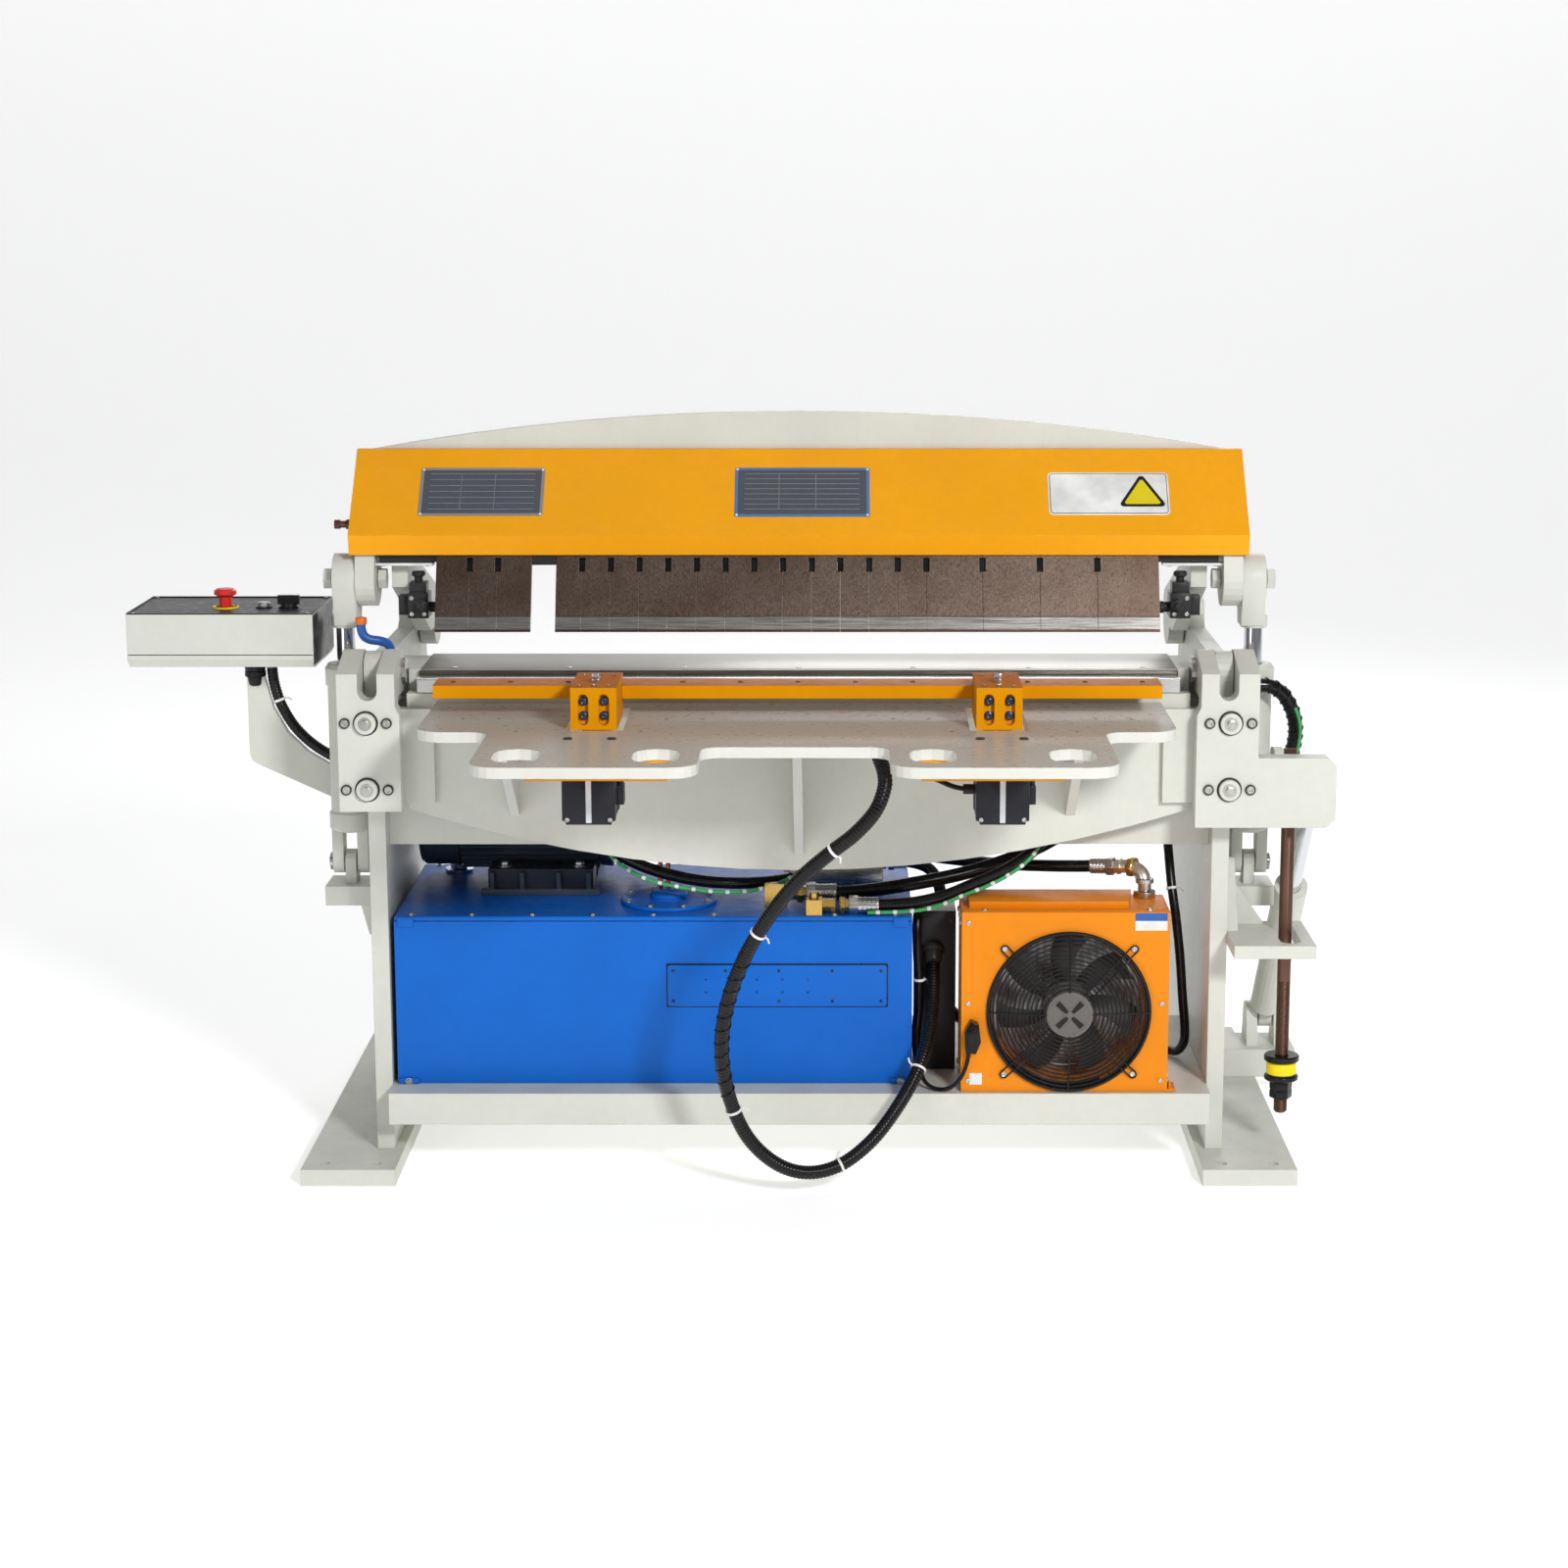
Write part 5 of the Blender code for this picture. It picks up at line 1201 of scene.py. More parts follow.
def motor():
    """Finned electric motor lying along the tank, with its fan cowl, end shields and terminal box."""
    form = Form()
    left, right, radius = MOTOR_LOW.x, MOTOR_HIGH.x, MOTOR_RADIUS
    core = radius - 0.012
    profile = [(0.03, 0.0), (0.088, 0.002), (0.094, 0.01), (0.094, 0.066), (0.0965, 0.068),
               (0.0965, 0.074),
               (core, 0.076), (core, 0.33), (radius - 0.004, 0.332), (radius - 0.002, 0.352),
               (0.08, 0.362),
               (0.052, 0.366), (0.05, right - left), (0.02, right - left)]
    form.turned(profile, (left, MOTOR_Y, MOTOR_Z), ALONG, 48)
    fins = 40
    for i in range(fins):
        angle = 2 * pi * i / fins
        if 60 < degrees(angle) % 360 < 120:
            continue
        out = Vector((0, cos(angle), sin(angle)))
        side = Vector((0, -sin(angle), cos(angle))) * 0.0013
        centre = Vector((0, MOTOR_Y, MOTOR_Z))
        rows = []
        for x in (left + 0.078, left + 0.328):
            place = centre + Vector((x, 0, 0))
            rows.append([place + out * (core - 0.002) - side * 1.5, place + out * radius - side,
                         place + out * radius + side, place + out * (core - 0.002) + side * 1.5])
        form.lattice(rows)
    for y, z in circle(0.06, 24, MOTOR_Y, MOTOR_Z):
        form.rod((left + 0.001, y, z), (left - 0.0001, y, z), 0.0042, 8, 1)
    form.box((left + 0.12, MOTOR_Y - 0.05, MOTOR_Z + core - 0.004),
             (left + 0.24, MOTOR_Y + 0.05, MOTOR_Z + radius - 0.0005))
    for x in (left + 0.128, left + 0.232):
        for y in (MOTOR_Y - 0.042, MOTOR_Y + 0.042):
            form.socket_screw((x, y, MOTOR_Z + radius - 0.003), UP, 0.0036, 0.0022, 2)
    obj = form.piece("motor_with_fins", "frame", ["motor_grey", "black_plastic", "bright_steel"],
                     bevel=0.0006)
    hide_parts("electric_motor")

    pump = Form()
    low, high = node_box("hydraulic_pump")
    length = high.x - low.x
    profile = [(0.03, 0.0), (0.094, 0.001), (0.094, 0.016), (0.08, 0.022), (0.077, 0.08), (0.072, 0.108),
               (0.054, 0.118), (0.054, 0.236), (0.05, 0.24), (0.036, 0.246), (0.03, length),
               (0.008, length)]
    pump.turned(profile, (low.x, MOTOR_Y, MOTOR_Z), ALONG, 40)
    for i in range(6):
        angle = 2 * pi * (i + 0.5) / 6
        y, z = MOTOR_Y + 0.084 * cos(angle), MOTOR_Z + 0.084 * sin(angle)
        pump.hex_bolt((low.x + 0.016, y, z), ALONG, 0.0065, 0.007, 1)
        y, z = MOTOR_Y + 0.043 * cos(angle), MOTOR_Z + 0.043 * sin(angle)
        pump.hex_bolt((low.x + 0.238, y, z), ALONG, 0.0055, 0.006, 1)
    for sign in (-1, 1):
        y = MOTOR_Y + sign * 0.052
        pump.box((low.x + 0.13, min(y, y + sign * 0.016), MOTOR_Z - 0.024),
                 (low.x + 0.19, max(y, y + sign * 0.016), MOTOR_Z + 0.024))
    obj = pump.piece("pump_casting", "frame", ["motor_grey", "bright_steel"], bevel=0.0008)
    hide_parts("hydraulic_pump")

    feet = Form()
    low, high = node_box("motor_foot")
    for x in (low.x + 0.028, high.x - 0.028):
        for y in (low.y + 0.03, high.y - 0.03):
            feet.hex_bolt((x, y, high.z), UP, 0.0085, 0.0085)
    feet.piece("motor_foot_bolts", "frame", "bright_steel")
    base = Form()
    base.box((low.x - 0.012, low.y - 0.014, low.z - 0.0002),
             (high.x + 0.012, low.y - 0.0004, low.z + 0.011))
    for x in (low.x + 0.004, low.x + 0.058, high.x - 0.066, high.x - 0.012):
        base.prism([(x, low.z + 0.01), (x + 0.008, low.z + 0.01), (x + 0.008, high.z - 0.004),
                    (x, high.z - 0.004)],
                   (low.y - 0.012, low.y - 0.0004), "Y")
    base.piece("motor_foot_flange", "frame", "motor_grey", bevel=0.0012)


def tank_details():
    """Access plate with a black sheet behind it as painted shadow at its edges, round cover, corner tabs,
    level gauge and screws of the tank.
    """
    front = TANK_LOW.y
    plate = Form()
    outline = arc(0.149, 0.362, 0.005, 0, 90, 4) + arc(-0.2275, 0.362, 0.005, 90, 180, 4)
    outline += arc(-0.2275, 0.297, 0.005, 180, 270, 4) + arc(0.149, 0.297, 0.005, 270, 360, 4)
    plate.prism(outline, (front - 0.0042, front - 0.0012), "Y")
    cover_x, cover_y = -0.235, 0.09
    plate.turned([(0.085, 0.0), (0.086, 0.001), (0.086, 0.006), (0.084, 0.0075), (0.004, 0.0078)],
                 (cover_x, cover_y, LID_HIGH.z), UP, 48)
    plate.turned([(0.034, 0.0), (0.034, 0.01), (0.03, 0.013), (0.006, 0.014)],
                 (cover_x, cover_y, LID_HIGH.z + 0.007), UP, 30)
    for x in (TANK_LOW.x + 0.02, TANK_HIGH.x - 0.02):
        plate.box((x - 0.018, front - 0.006, TANK_LOW.z), (x + 0.018, front, TANK_LOW.z + 0.01))
        plate.box((x - 0.014, front - 0.003, LID_LOW.z - 0.01), (x + 0.014, front, LID_HIGH.z - 0.001))
    plate.piece("tank_covers", "frame", "blue_paint", bevel=0.0008)

    # A black sheet a little larger than the access plate, behind it: painted shadow that outlines the plate's
    # edges.
    plate_shadow = Form()
    plate_shadow.box((-0.2345, front - 0.0012, 0.29), (0.156, front, 0.369))
    plate_shadow.piece("tank_plate_shadow_rim", "frame", "black_rubber")

    screws = Form()
    for x in (-0.2225, -0.13, -0.036, 0.058, 0.144):
        for z in (0.302, 0.357):
            screws.socket_screw((x, front - 0.0042, z), FRONT, 0.0026, 0.0014)
    for x in (-0.165, -0.12, -0.075, -0.03, 0.015):
        for z in (0.318, 0.341):
            screws.socket_screw((x, front - 0.0042, z), FRONT, 0.0018, 0.0008)
    screws.piece("tank_plate_screws", "frame", "slate_paint")
    white = Form()
    for i in range(8):
        angle = 2 * pi * (i + 0.5) / 8
        x, y = cover_x + 0.076 * cos(angle), cover_y + 0.076 * sin(angle)
        white.hex_bolt((x, y, LID_HIGH.z + 0.0072), UP, 0.0045, 0.004)
    for i in range(9):
        x = LID_LOW.x + 0.03 + (LID_HIGH.x - LID_LOW.x - 0.06) * i / 8
        white.hex_bolt((x, LID_LOW.y + 0.012, LID_HIGH.z), UP, 0.0042, 0.0036)
        if abs(x + 0.26) > 0.14:
            white.hex_bolt((x, LID_HIGH.y - 0.012, LID_HIGH.z), UP, 0.0042, 0.0036)
    for x in (TANK_LOW.x + 0.02, TANK_HIGH.x - 0.02):
        white.hex_bolt((x, front - 0.006, TANK_LOW.z + 0.005), FRONT, 0.004, 0.004)
    white.piece("tank_lid_bolts", "frame", "bright_steel")

    gauge = Form()
    x = TANK_LOW.x
    gauge.box((x - 0.0075, 0.17, 0.23), (x, 0.2, 0.37), 0)
    gauge.box((x - 0.0085, 0.179, 0.245), (x - 0.007, 0.191, 0.355), 1)
    gauge.hex_bolt((x - 0.0075, 0.185, 0.238), (-1, 0, 0), 0.005, 0.004, 2)
    gauge.hex_bolt((x - 0.0075, 0.185, 0.362), (-1, 0, 0), 0.005, 0.004, 2)
    gauge.piece("oil_level_gauge", "frame", ["black_plastic", "white_plastic", "bright_steel"],
                bevel=0.0006)


def breather(x, y):
    """Filler cap with a knurled rim."""
    form = Form()
    base = LID_HIGH.z
    form.turned([(0.026, 0.0), (0.026, 0.006), (0.017, 0.008), (0.017, 0.02), (0.029, 0.022),
                 (0.03, 0.025),
                 (0.03, 0.046), (0.027, 0.05), (0.006, 0.051)], (x, y, base), UP, 36, 0)
    for rib_x, rib_y in circle(0.03, 24, x, y):
        form.rod((rib_x, rib_y, base + 0.026), (rib_x, rib_y, base + 0.045), 0.0014, 6, 0)
    form.piece("filler_cap", "frame", "chrome")


motor()
tank_details()
breather(-0.64, 0.34)


# ---------------------------------------------------------------- hoses, fittings and wiring above the tank
def fitting(form, start, end, radius, steel, brass):
    """A crimped hose end: ferrule with rings, a hexagon nut and a brass shoulder, between two points."""
    start, end = Vector(start), Vector(end)
    run = end - start
    length, axis = run.length, run.normalized()
    ring = radius * 1.28
    profile = [(ring * 0.92, 0.0), (ring, 0.002)]
    for i in range(4):
        base = 0.004 + i * length * 0.11
        profile += [(ring, base), (ring * 0.93, base + 0.001), (ring * 0.93, base + 0.002),
                    (ring, base + 0.003)]
    profile += [(ring, length * 0.52), (ring * 0.8, length * 0.54)]
    form.turned(profile, start, axis, 24, steel)
    form.turned([(ring * 1.18, length * 0.52), (ring * 1.22, length * 0.54), (ring * 1.22, length * 0.74),
                 (ring * 1.15, length * 0.76)], start, axis, 6, steel)
    form.turned([(ring * 0.86, length * 0.74), (ring * 0.86, length * 0.84), (ring * 1.08, length * 0.85),
                 (ring * 1.08, length * 0.97), (ring * 0.9, length)], start, axis, 6, brass)


def oil_plumbing():
    """The hoses that run over the tank to the cooler, with their fittings, elbow and copper pipes."""
    hoses = Form()
    upper = smooth_route([(-0.045, 0.052, 0.479), (0.0, 0.05, 0.479), (0.06, 0.05, 0.4795),
                          (0.12, 0.052, 0.483),
                          (0.197, 0.06, 0.493), (0.29, 0.078, 0.508), (0.37, 0.098, 0.528),
                          (0.44, 0.118, 0.554),
                          (0.5, 0.14, 0.59), (0.54, 0.165, 0.64)], 0.01)
    hoses.tube(upper[8:], 0.0125, 16)
    lower = smooth_route([(0.01, -0.004, 0.47), (0.07, -0.004, 0.47), (0.133, -0.004, 0.47),
                          (0.2, -0.004, 0.474),
                          (0.255, -0.002, 0.486), (0.299, 0.002, 0.503), (0.367, 0.01, 0.532),
                          (0.418, 0.018, 0.568),
                          (0.45, 0.034, 0.615)], 0.01)
    hoses.tube(lower[10:], 0.0105, 14)
    sagging = smooth_route([(-0.4, 0.1, 0.585), (-0.33, 0.07, 0.548), (-0.26, 0.05, 0.521),
                            (-0.18, 0.045, 0.503),
                            (-0.105, 0.055, 0.496), (-0.04, 0.09, 0.494), (0.009, 0.15, 0.496)], 0.01)
    hoses.tube(sagging, 0.0105, 14)
    behind = smooth_route([(-0.06, 0.3, 0.56), (0.0, 0.26, 0.572), (0.08, 0.2, 0.57), (0.18, 0.16, 0.56),
                           (0.3, 0.15, 0.556), (0.42, 0.15, 0.57), (0.54, 0.17, 0.6), (0.62, 0.2, 0.64)],
                          0.01)
    hoses.tube(behind, 0.01, 14)
    hoses.piece("oil_hoses", "frame", "black_rubber", angle=80)

    parts = Form()
    fitting(parts, upper[11], upper[4], 0.013, 0, 1)
    fitting(parts, lower[13], lower[6], 0.0112, 0, 1)
    parts.box((-0.062, 0.036, LID_HIGH.z), (-0.022, 0.066, 0.496), 1)
    parts.rod((-0.03, 0.05, 0.479), (0.004, 0.05, 0.479), 0.0125, 6, 1)
    parts.box((0.012, -0.02, LID_HIGH.z), (0.04, 0.012, 0.482), 1)
    parts.rod((0.036, -0.004, 0.47), (0.064, -0.004, 0.47), 0.0125, 6, 1)
    parts.rod((0.026, -0.004, 0.4815), (0.026, -0.004, 0.493), 0.008, 6, 1)
    fitting(parts, sagging[-6], (0.0095, 0.19, 0.4965), 0.0105, 0, 1)
    fitting(parts, (0.195, 0.2395, 0.51), (0.1502, 0.24, 0.51), 0.011, 0, 1)
    fitting(parts, (0.196, 0.2848, 0.4845), (0.1502, 0.285, 0.485), 0.011, 0, 1)
    fitting(parts, (0.52, 0.0905, 0.5195), (0.575, 0.071, 0.5232), 0.011, 0, 2)
    elbow = smooth_route([(0.572, 0.072, 0.523), (0.592, 0.06, 0.5245), (0.608, 0.045, 0.515),
                          (0.612, 0.0385, 0.498)], 0.004)
    parts.tube(elbow, 0.0125, 18, 2)
    parts.turned([(0.0175, 0.0), (0.018, 0.001), (0.018, 0.01), (0.0172, 0.011)], (0.596, 0.057, 0.524),
                 (-0.62, 0.5, 0.05), 6, 1)
    parts.turned([(0.019, 0.0), (0.0195, 0.001), (0.0195, 0.012), (0.0165, 0.014), (0.012, 0.0145),
                  (0.012, 0.026),
                  (0.0165, 0.027), (0.0165, 0.034), (0.012, 0.035)], (0.612, 0.0385, 0.474), UP, 24, 0)
    for y in (0.215, 0.3):
        parts.turned([(0.015, 0.0), (0.0155, 0.001), (0.0155, 0.012), (0.012, 0.013), (0.012, 0.02),
                      (0.006, 0.021)],
                     (0.08, y, 0.54), UP, 6, 1)
    for x in (0.03, 0.13):
        for y in (0.205, 0.315):
            parts.socket_screw((x, y, 0.54), UP, 0.0055, 0.005, 0)
    for x in (0.045, 0.115):
        parts.rod((x, 0.1905, 0.512), (x, 0.166, 0.512), 0.0125, 20, 0)
        parts.turned([(0.015, 0.0), (0.0155, 0.001), (0.0155, 0.008), (0.011, 0.009)], (x, 0.19, 0.512),
                     FRONT, 6, 1)
    parts.piece("hose_fittings", "frame", ["bright_steel", "brass", "white_metal"])

    block = Form()
    block.box((0.012, 0.17, LID_HIGH.z + 0.0002), (0.148, 0.189, 0.5))
    block.piece("valve_manifold", "frame", "bright_steel", bevel=0.0015)

    pipes = Form()
    for x in (-0.252, -0.238):
        pipes.tube(smooth_route([(x, 0.128, LID_HIGH.z + 0.004), (x, 0.128, 0.49), (x, 0.129, 0.52),
                                 (x, 0.138, 0.545),
                                 (x, 0.16, 0.56), (x, 0.192, 0.565)], 0.006), 0.0042, 12)
        pipes.turned([(0.0085, 0.0), (0.0088, 0.001), (0.0088, 0.008), (0.006, 0.009)],
                     (x, 0.128, LID_HIGH.z + 0.0075), UP, 6)
    pipes.piece("copper_pipes", "frame", "copper")


def wiring():
    """Earth and signal wires, the cable duct beside the cooler and the cables at the right-hand upright."""
    green = Form()
    first = smooth_route([(-0.35, 0.075, 0.57), (-0.33, 0.052, 0.54), (-0.275, 0.03, 0.511),
                          (-0.215, 0.022, 0.497),
                          (-0.15, 0.022, 0.488), (-0.095, 0.03, 0.487), (-0.045, 0.05, 0.494),
                          (0.005, 0.085, 0.51)], 0.006)
    green.tube(first, 0.0034, 10)
    second = smooth_route([(0.12, -0.02, 0.46), (0.19, -0.02, 0.462), (0.24, -0.018, 0.47),
                           (0.285, -0.014, 0.488),
                           (0.34, -0.006, 0.509), (0.385, 0.002, 0.534), (0.415, 0.008, 0.562),
                           (0.436, 0.022, 0.6)], 0.006)
    green.tube(second, 0.0034, 10)
    green.piece("earth_wires", "frame", "green_plastic", angle=80)
    bands = Form()
    for line in (first, second):
        count = len(line)
        for i in range(3, count - 3, 5):
            axis = (line[i + 1] - line[i - 1]).normalized()
            bands.turned([(0.0036, -0.0035), (0.0038, -0.003), (0.0038, 0.003), (0.0036, 0.0035)],
                         line[i], axis, 12)
    bands.piece("earth_wire_bands", "frame", "white_plastic")

    duct = Form()
    duct.box((0.206, 0.064, 0.15), (0.279, 0.175, 0.443))
    for z in (0.175, 0.3, 0.425):
        for x in (0.214, 0.271):
            duct.socket_screw((x, 0.064, z), FRONT, 0.003, 0.0016)
    duct.turned([(0.02, 0.0), (0.0205, 0.002), (0.0205, 0.008), (0.0165, 0.01), (0.0165, 0.022),
                 (0.014, 0.026),
                 (0.0132, 0.03)], (0.238, 0.064, 0.375), (0, -0.72, -0.69), 24)
    duct.piece("cable_duct", "frame", "black_satin", bevel=0.0015)

    black = Form()
    pair = [[(0.216, 0.1, 0.443), (0.214, 0.08, 0.452), (0.211, 0.052, 0.445), (0.209, 0.036, 0.42),
             (0.21, 0.03, 0.37), (0.213, 0.03, 0.32), (0.212, 0.034, 0.27), (0.208, 0.04, 0.22),
             (0.212, 0.05, 0.18), (0.22, 0.062, 0.166)],
            [(0.664, 0.23, 0.64), (0.663, 0.19, 0.59), (0.664, 0.14, 0.54), (0.668, 0.11, 0.48),
             (0.676, 0.095, 0.42), (0.684, 0.092, 0.35), (0.69, 0.094, 0.28), (0.696, 0.1, 0.22),
             (0.696, 0.112, 0.186), (0.686, 0.135, 0.164), (0.668, 0.16, 0.16)]]
    routes = [smooth_route(points, 0.008) for points in pair]
    for line in routes:
        black.tube(line, 0.0085, 14)
    black.piece("upright_cables", "frame", "black_rubber", angle=80)
    ties = Form()
    tie(ties, routes[0], 0.52, 0.0088)
    tie(ties, routes[1], 0.36, 0.0088)
    tie(ties, smooth_route(ARM_ROUTE, 0.01), 0.2, 0.0102)
    ties.piece("cable_ties", "frame", "white_plastic")


oil_plumbing()
wiring()


# ---------------------------------------------------------------- cylinders, stop rod and hinge ends
BARREL_LOW, BARREL_HIGH = node_box("right_clamp_barrel")
ROD_LOW = node_box("right_clamp_rod")[0]
CYL_X, CYL_Y = (BARREL_LOW.x + BARREL_HIGH.x) / 2, (BARREL_LOW.y + BARREL_HIGH.y) / 2
CYL_RADIUS = (BARREL_HIGH.x - BARREL_LOW.x) / 2
LOW_PIN_Z, TOP_PIN_Z = 0.527, 1.036
ARM_EYE_Y = -0.03


def eye_plate(form, x0, x1, y, z, radius, foot, half, slot=0):
    """A flat eye round a pin along X, on a stem that reaches to foot."""
    up = foot > z
    ring = arc(y, z, radius, 180, 360, 14) if up else arc(y, z, radius, 0, 180, 14)
    ends = [(y + half, foot), (y - half, foot)] if up else [(y - half, foot), (y + half, foot)]
    form.prism(ring + ends, (x0, x1), "X", slot)


def clamp_cylinder(name, side):
    """One clamp cylinder: tube with its gland nut and oil ports, and the chromed rod with its painted eye.

    The left-hand one has a hose on its lower port only, because the control arm runs past the upper one.
    """
    x = side * CYL_X
    tube = Form()
    low, high = 0.584, BARREL_HIGH.z
    profile = [(0.03, 0.0), (0.034, 0.002), (CYL_RADIUS, 0.006), (CYL_RADIUS, 0.034), (0.0345, 0.036),
               (0.0345, 0.262),
               (CYL_RADIUS, 0.264), (CYL_RADIUS, 0.294), (0.035, 0.298), (0.033, high - low),
               (0.0175, high - low),
               (0.017, high - low - 0.004)]
    tube.turned(profile, (x, CYL_Y, low), UP, 36, cap=True)
    for z in (0.606, 0.862):
        tube.rod((x, CYL_Y + 0.033, z), (x, CYL_Y + 0.0465, z), 0.0115, 20)
    for x0, x1 in ((-0.032, -0.0125), (0.0125, 0.032)):
        eye_plate(tube, x + x0, x + x1, CYL_Y, LOW_PIN_Z, 0.021, 0.592, 0.021)
    obj = tube.piece(name + "_cylinder_tube", name + "_clamp_barrel", "grey_paint",
                     bevel=0.0006)
    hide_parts(name + "_clamp_barrel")

    rod = Form()
    rod.rod((x, CYL_Y, ROD_LOW.z), (x, CYL_Y, 0.966), (0.016), 28, 1)
    centre = x - side * 0.005
    rod.turned([(0.022, 0.0), (0.024, 0.002), (0.024, 0.02), (0.022, 0.022)], (x, CYL_Y, 0.95), UP, 28, 0)
    eye_plate(rod, centre - 0.0205, centre + 0.0205, CYL_Y, TOP_PIN_Z, 0.0445, 0.955, 0.026, 0)
    obj = rod.piece(name + "_rod_and_eye", name + "_clamp_rod", ["grey_paint", "chrome"],
                    bevel=0.001)
    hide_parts(name + "_clamp_rod")

    pins = Form()
    pins.rod((side * 0.8345, CYL_Y, LOW_PIN_Z), (side * 0.8405, CYL_Y, LOW_PIN_Z), 0.016)
    pins.rod((side * 0.84, CYL_Y, LOW_PIN_Z), (side * 0.8425, CYL_Y, LOW_PIN_Z), 0.0075, 12)
    pins.piece(name + "_cylinder_pin_cap", "frame", "bright_steel")
    hose = Form()
    ports = [(0.606, 0.575)] if name == "left" else [(0.606, 0.575), (0.862, 0.82)]
    for z, reach in ports:
        hose.turned([(0.0085, 0.0), (0.009, 0.001), (0.009, 0.01), (0.0065, 0.012)],
                    (x, CYL_Y + 0.0465, z), (0, 1, 0), 6, 1)
        inner = side * 0.753
        hose.tube(smooth_route([(x, CYL_Y + 0.056, z), (x, CYL_Y + 0.078, z - 0.003),
                                (x - side * 0.008, CYL_Y + 0.096, z - 0.022),
                                (inner, CYL_Y + 0.104, reach)], 0.006), 0.0062, 12, 0)
    hose.piece(name + "_cylinder_hoses", name + "_clamp_barrel", ["black_rubber", "brass"],
               angle=60)


def stop_rod():
    """The travel stop: threaded rod, eye, and a yellow collar between black rubber rings."""
    low, high = node_box("stop_rod")
    x, y = (low.x + high.x) / 2, (low.y + high.y) / 2
    form = Form()
    pitch = 0.0032
    turns, plain = thread(0.004, 0.24 + pitch, pitch, 0.012, 0.0108, (0.0011, 0.0016, 0.0027))
    profile = [(0.0085, 0.0), (0.0115, 0.003), *turns, (0.0118, plain), (0.0118, 0.609), (0.01, 0.612)]
    form.turned(profile, (x, y, low.z), UP, 24, 0)
    eye = circle(0.021, 28, y, high.z - 0.021)
    form.prism(eye, (x - 0.01, x + 0.01), "X", 0)
    for z0, z1, radius, slot in ((0.159, 0.169, 0.03, 1), (0.1695, 0.193, 0.0265, 2),
                                 (0.1935, 0.205, 0.031, 1)):
        form.turned([(0.01, 0.0), (radius - 0.002, 0.0002), (radius, 0.002), (radius, z1 - z0 - 0.002),
                     (radius - 0.002, z1 - z0), (0.01, z1 - z0)], (x, y, z0), UP, 36, slot, cap=False)
    form.turned([(0.01, 0.0), (0.019, 0.001), (0.02, 0.003), (0.02, 0.014), (0.019, 0.016),
                 (0.019, 0.017),
                 (0.02, 0.018), (0.02, 0.031), (0.019, 0.033), (0.01, 0.0335)], (x, y, 0.1252), UP, 6, 1,
                cap=False)
    obj = form.piece("threaded_stop_rod", "stop_rod", ["browned_steel", "black_rubber", "collar_yellow"])
    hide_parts("stop_rod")


def hinge_details():
    """Painted shade rings round the hinge plates' bolts, the bolts' heads, and the caps of the drive pin."""
    front = -0.1002
    for name, side in (("left", -1), ("right", 1)):
        dark = Form()
        bright = Form()
        for z in (0.696, 0.812):
            for x in (0.705, 0.777):
                # The black rings round each bolt are painted shade: the shadow in the countersunk gap round
                # the head.
                dark.turned([(0.0092, -0.0004), (0.0092, 0.004), (0.0068, 0.004), (0.0066, -0.0004)],
                            (side * x, front, z), FRONT, 24, cap=False)
                bright.socket_screw((side * x, front - 0.0032, z), FRONT, 0.0064, 0.003)
            dark.turned([(0.0215, -0.0004), (0.0215, 0.0008), (0.0185, 0.0008), (0.018, -0.0004)],
                        (side * 0.741, front, z), FRONT, 32, cap=False)
            bright.turned([(0.0182, 0.0), (0.0182, 0.0096), (0.0172, 0.0102)], (side * 0.741, front, z),
                          FRONT, 32, 1)
            dark.turned([(0.0112, 0.009), (0.0112, 0.0108), (0.0094, 0.0108), (0.0092, 0.009)],
                        (side * 0.741, front, z), FRONT, 28, cap=False)
            bright.hex_bolt((side * 0.741, front - 0.0098, z), FRONT, 0.0072, 0.005)
        dark.piece(name + "_bolt_shade_rings", "bending_beam", "black_satin")
        bright.piece(name + "_hinge_bolts", "bending_beam", ["bolt_grey", "grey_paint"])
    end = Form()
    end.turned([(0.014, 0.0), (0.0145, 0.001), (0.0145, 0.005), (0.013, 0.0062)], (0.9195, -0.03, 0.663),
               ALONG, 24)
    end.turned([(0.01, 0.0), (0.01, 0.003), (0.004, 0.0045)], (0.83, ARM_EYE_Y, 0.735), (-1, 0, 0), 20)
    end.piece("drive_pin_caps", "bending_beam", "bright_steel")


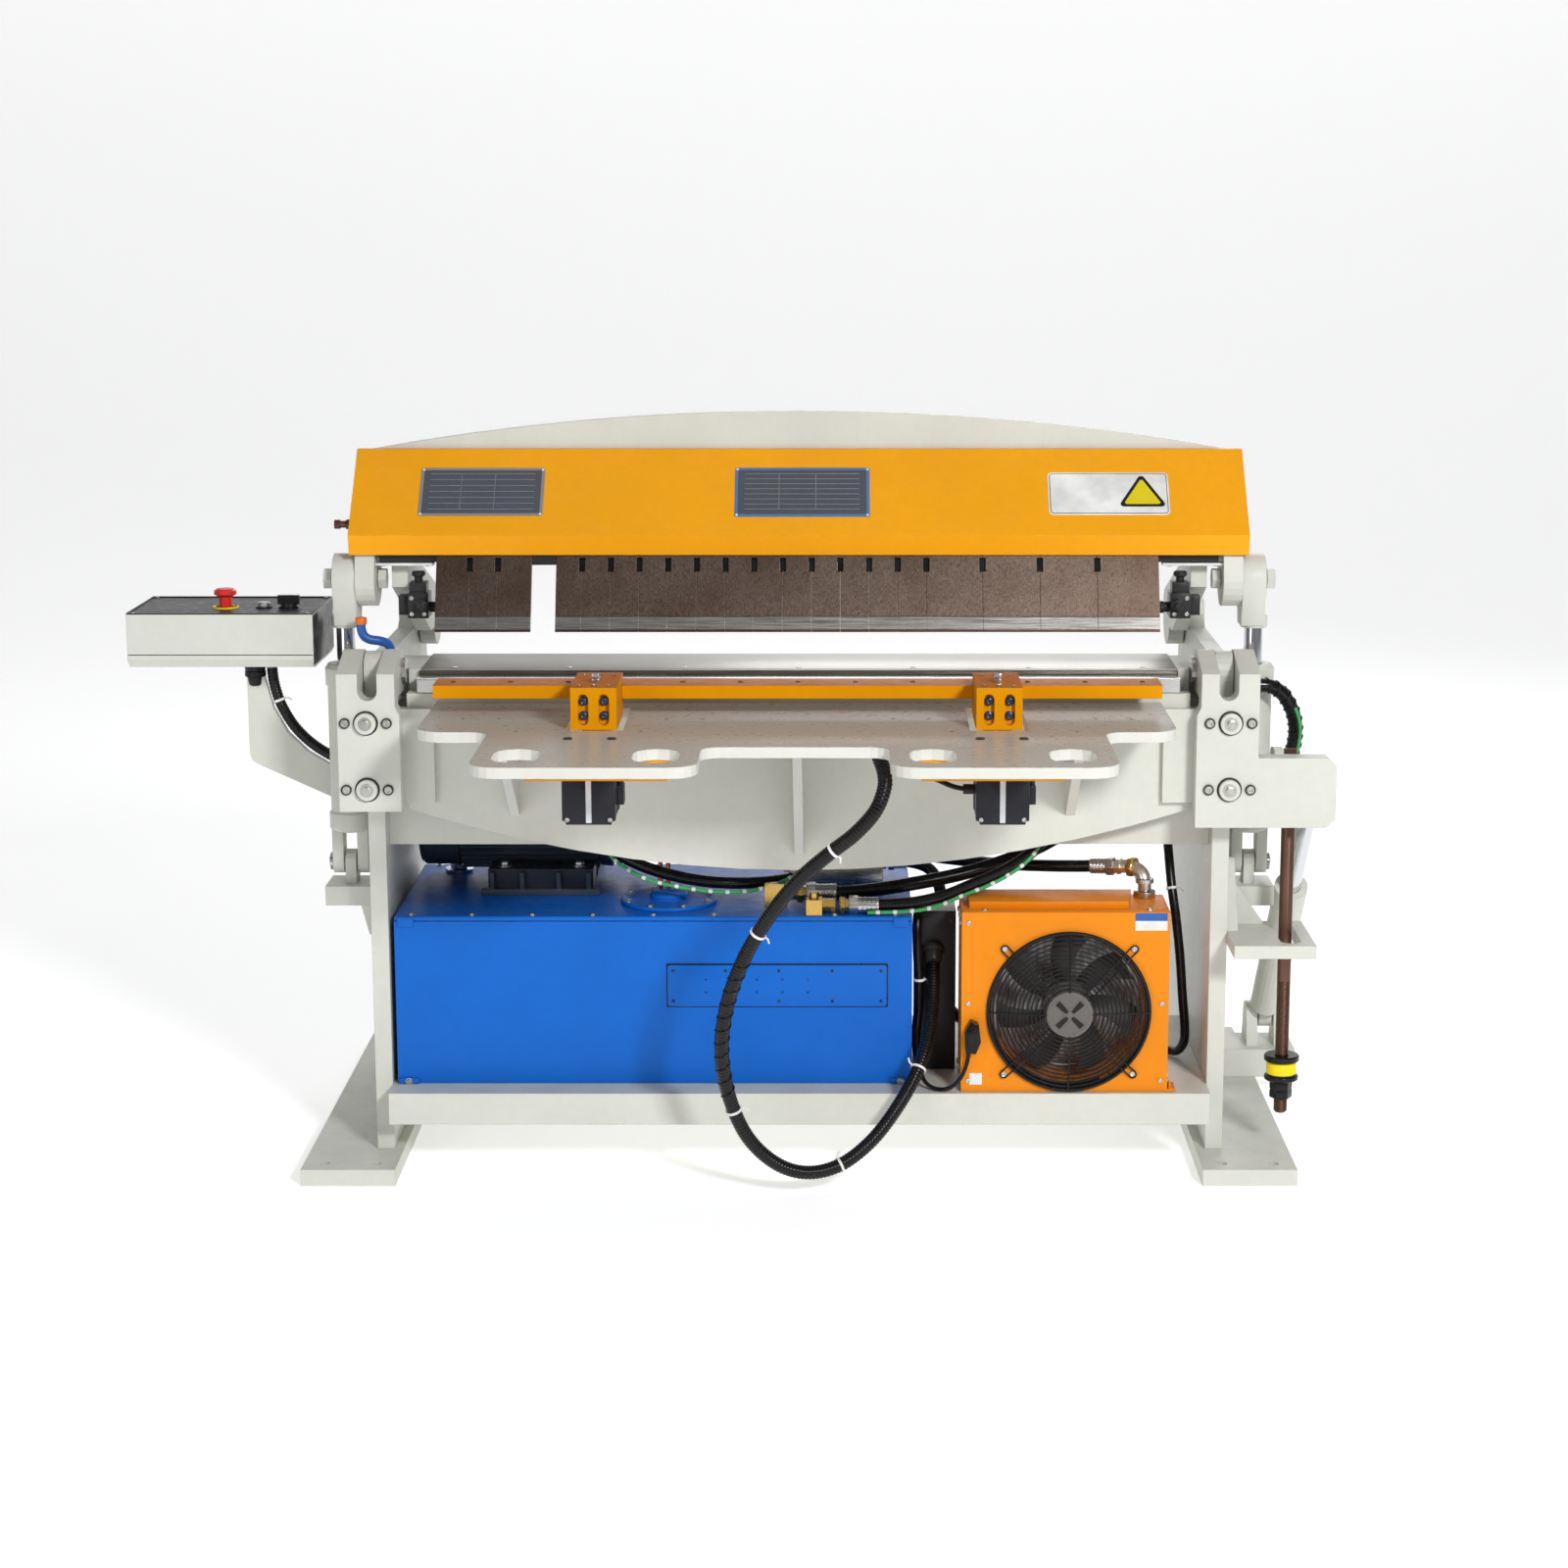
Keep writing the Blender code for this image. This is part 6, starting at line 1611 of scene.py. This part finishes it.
def side_wiring():
    """The wrapped cable bundle at the right-hand hinge and the coloured hose ends on the left."""
    bundle = smooth_route([(0.8, 0.036, 0.856), (0.825, 0.038, 0.854), (0.848, 0.044, 0.84),
                           (0.866, 0.052, 0.812),
                           (0.875, 0.06, 0.78), (0.875, 0.072, 0.745), (0.869, 0.094, 0.705),
                           (0.862, 0.13, 0.67),
                           (0.85, 0.158, 0.645), (0.815, 0.168, 0.63), (0.757, 0.168, 0.625)], 0.006)
    core = Form()
    core.tube(bundle, 0.0125, 16)
    core.piece("side_cable_bundle", "frame", "black_rubber", angle=80)
    wrap = Form()
    turns = []
    for i in range(1, len(bundle) - 1):
        ahead = (bundle[i + 1] - bundle[i - 1]).normalized()
        side = ahead.orthogonal().normalized()
        other = ahead.cross(side)
        for part in range(4):
            angle = 2 * pi * (i * 4 + part) / 11
            turns.append(bundle[i].lerp(bundle[i + 1],
                                        part / 4) + 0.0132 * (cos(angle) * side + sin(angle) * other))
    wrap.tube(turns, 0.0016, 6)
    wrap.piece("side_cable_wrap", "frame", "black_plastic", angle=80)
    green = Form()
    green.tube([p + Vector((0.006, -0.0145, 0.0)) for p in bundle[14:34]], 0.003, 8)
    green.piece("side_earth_wire", "frame", "green_plastic", angle=80)
    hoses = Form()
    hoses.tube(smooth_route([(-0.764, 0.034, 0.968), (-0.764, 0.034, 0.956), (-0.76, 0.034, 0.944),
                             (-0.75, 0.036, 0.937),
                             (-0.735, 0.04, 0.934), (-0.722, 0.05, 0.928), (-0.717, 0.06, 0.916)], 0.004),
               0.0082, 14, 0)
    hoses.rod((-0.764, 0.034, 0.964), (-0.764, 0.034, 0.976), 0.0102, 12, 1)
    hoses.piece("left_air_hose", "frame", ["blue_plastic", "orange_plastic"], angle=60)


for side_name, side_sign in (("left", -1), ("right", 1)):
    clamp_cylinder(side_name, side_sign)
stop_rod()
hinge_details()
side_wiring()


# ---------------------------------------------------------------- control box
BOX_LOW, BOX_TOP = node_box("control_box")


def control_details():
    """Seams, screws and button bezels of the control box, and its cable gland."""
    x0, x1, front, rear = BOX_LOW.x, BOX_TOP.x, BOX_LOW.y, BOX_TOP.y
    seams = Form()
    seams.box((x0 + 0.001, front - 0.0003, BOX_LOW.z + 0.0225), (x1 - 0.001, front, BOX_LOW.z + 0.024))
    seams.box((x0 + 0.001, rear, BOX_LOW.z + 0.0225), (x1 - 0.001, rear + 0.0003, BOX_LOW.z + 0.024))
    seams.box((x1, front + 0.002, BOX_LOW.z + 0.004), (x1 + 0.0004, rear - 0.002, BOX_TOP.z - 0.002))
    for y0, y1 in ((front, front + 0.0025), (rear - 0.0025, rear)):
        seams.box((x0 + 0.0005, y0, BOX_TOP.z), (x1 - 0.0005, y1, BOX_TOP.z + 0.0022))
    for low_x, high_x in ((x0, x0 + 0.0025), (x1 - 0.0025, x1)):
        seams.box((low_x, front + 0.0025, BOX_TOP.z), (high_x, rear - 0.0025, BOX_TOP.z + 0.0022))
    seams.piece("control_box_panels", "control_box", "black_satin", bevel=0.0006)
    screws = Form()
    for x in (x0 + 0.01, x1 - 0.01):
        for y in (front + 0.01, rear - 0.01):
            screws.socket_screw((x, y, BOX_TOP.z), UP, 0.0036, 0.0024)
    screws.piece("control_box_screws", "control_box", "bright_steel")
    rings = Form()
    for x, radius, slot in ((-1.018, 0.0235, 1), (-0.906, 0.018, 0), (-0.95, 0.015, 0)):
        rings.turned([(radius - 0.003, -0.0002), (radius - 0.003, 0.0018), (radius - 0.002, 0.0028),
                      (radius, 0.0022),
                      (radius, -0.0002)], (x, 0.13, BOX_TOP.z), UP, 40, slot, cap=False)
    rings.piece("button_bezels", "control_box", ["black_plastic", "collar_yellow"])
    gland = Form()
    flange_low, flange_high = node_box("control_flange")
    gland.turned([(0.018, 0.0), (0.019, 0.001), (0.019, 0.01), (0.015, 0.012), (0.0135, 0.024),
                  (0.0112, 0.027)],
                 ((flange_low.x + flange_high.x) / 2, (flange_low.y + flange_high.y) / 2, flange_low.z),
                 (0, 0, -1), 24)
    gland.piece("control_cable_gland", "control_box", "black_plastic")


control_details()


# ---------------------------------------------------------------- finishes of the CAD nodes
def finish_nodes():
    """Give each CAD node's slots the finish they are named for, or the one listed for the node here."""
    # The finger clamp bar takes the black look as painted shade: it stands in shade behind the fingers'
    # notches.
    own = {"left_gauge_block": "gauge_orange", "right_gauge_block": "gauge_orange",
           "gauge_rail": "gauge_orange",
           "bed_blade": "bed_steel", "support_table": "table_paint", "finger_clamp_bar": "black_satin",
           "left_clamp_pin": "grey_paint", "right_clamp_pin": "grey_paint", "control_box": "box_paint"}
    for name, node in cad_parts.items():
        for place in node.material_slots:
            slot = place.material.name.split(".")[0]
            place.material = LOOKS[own.get(name, slot)]


finish_nodes()
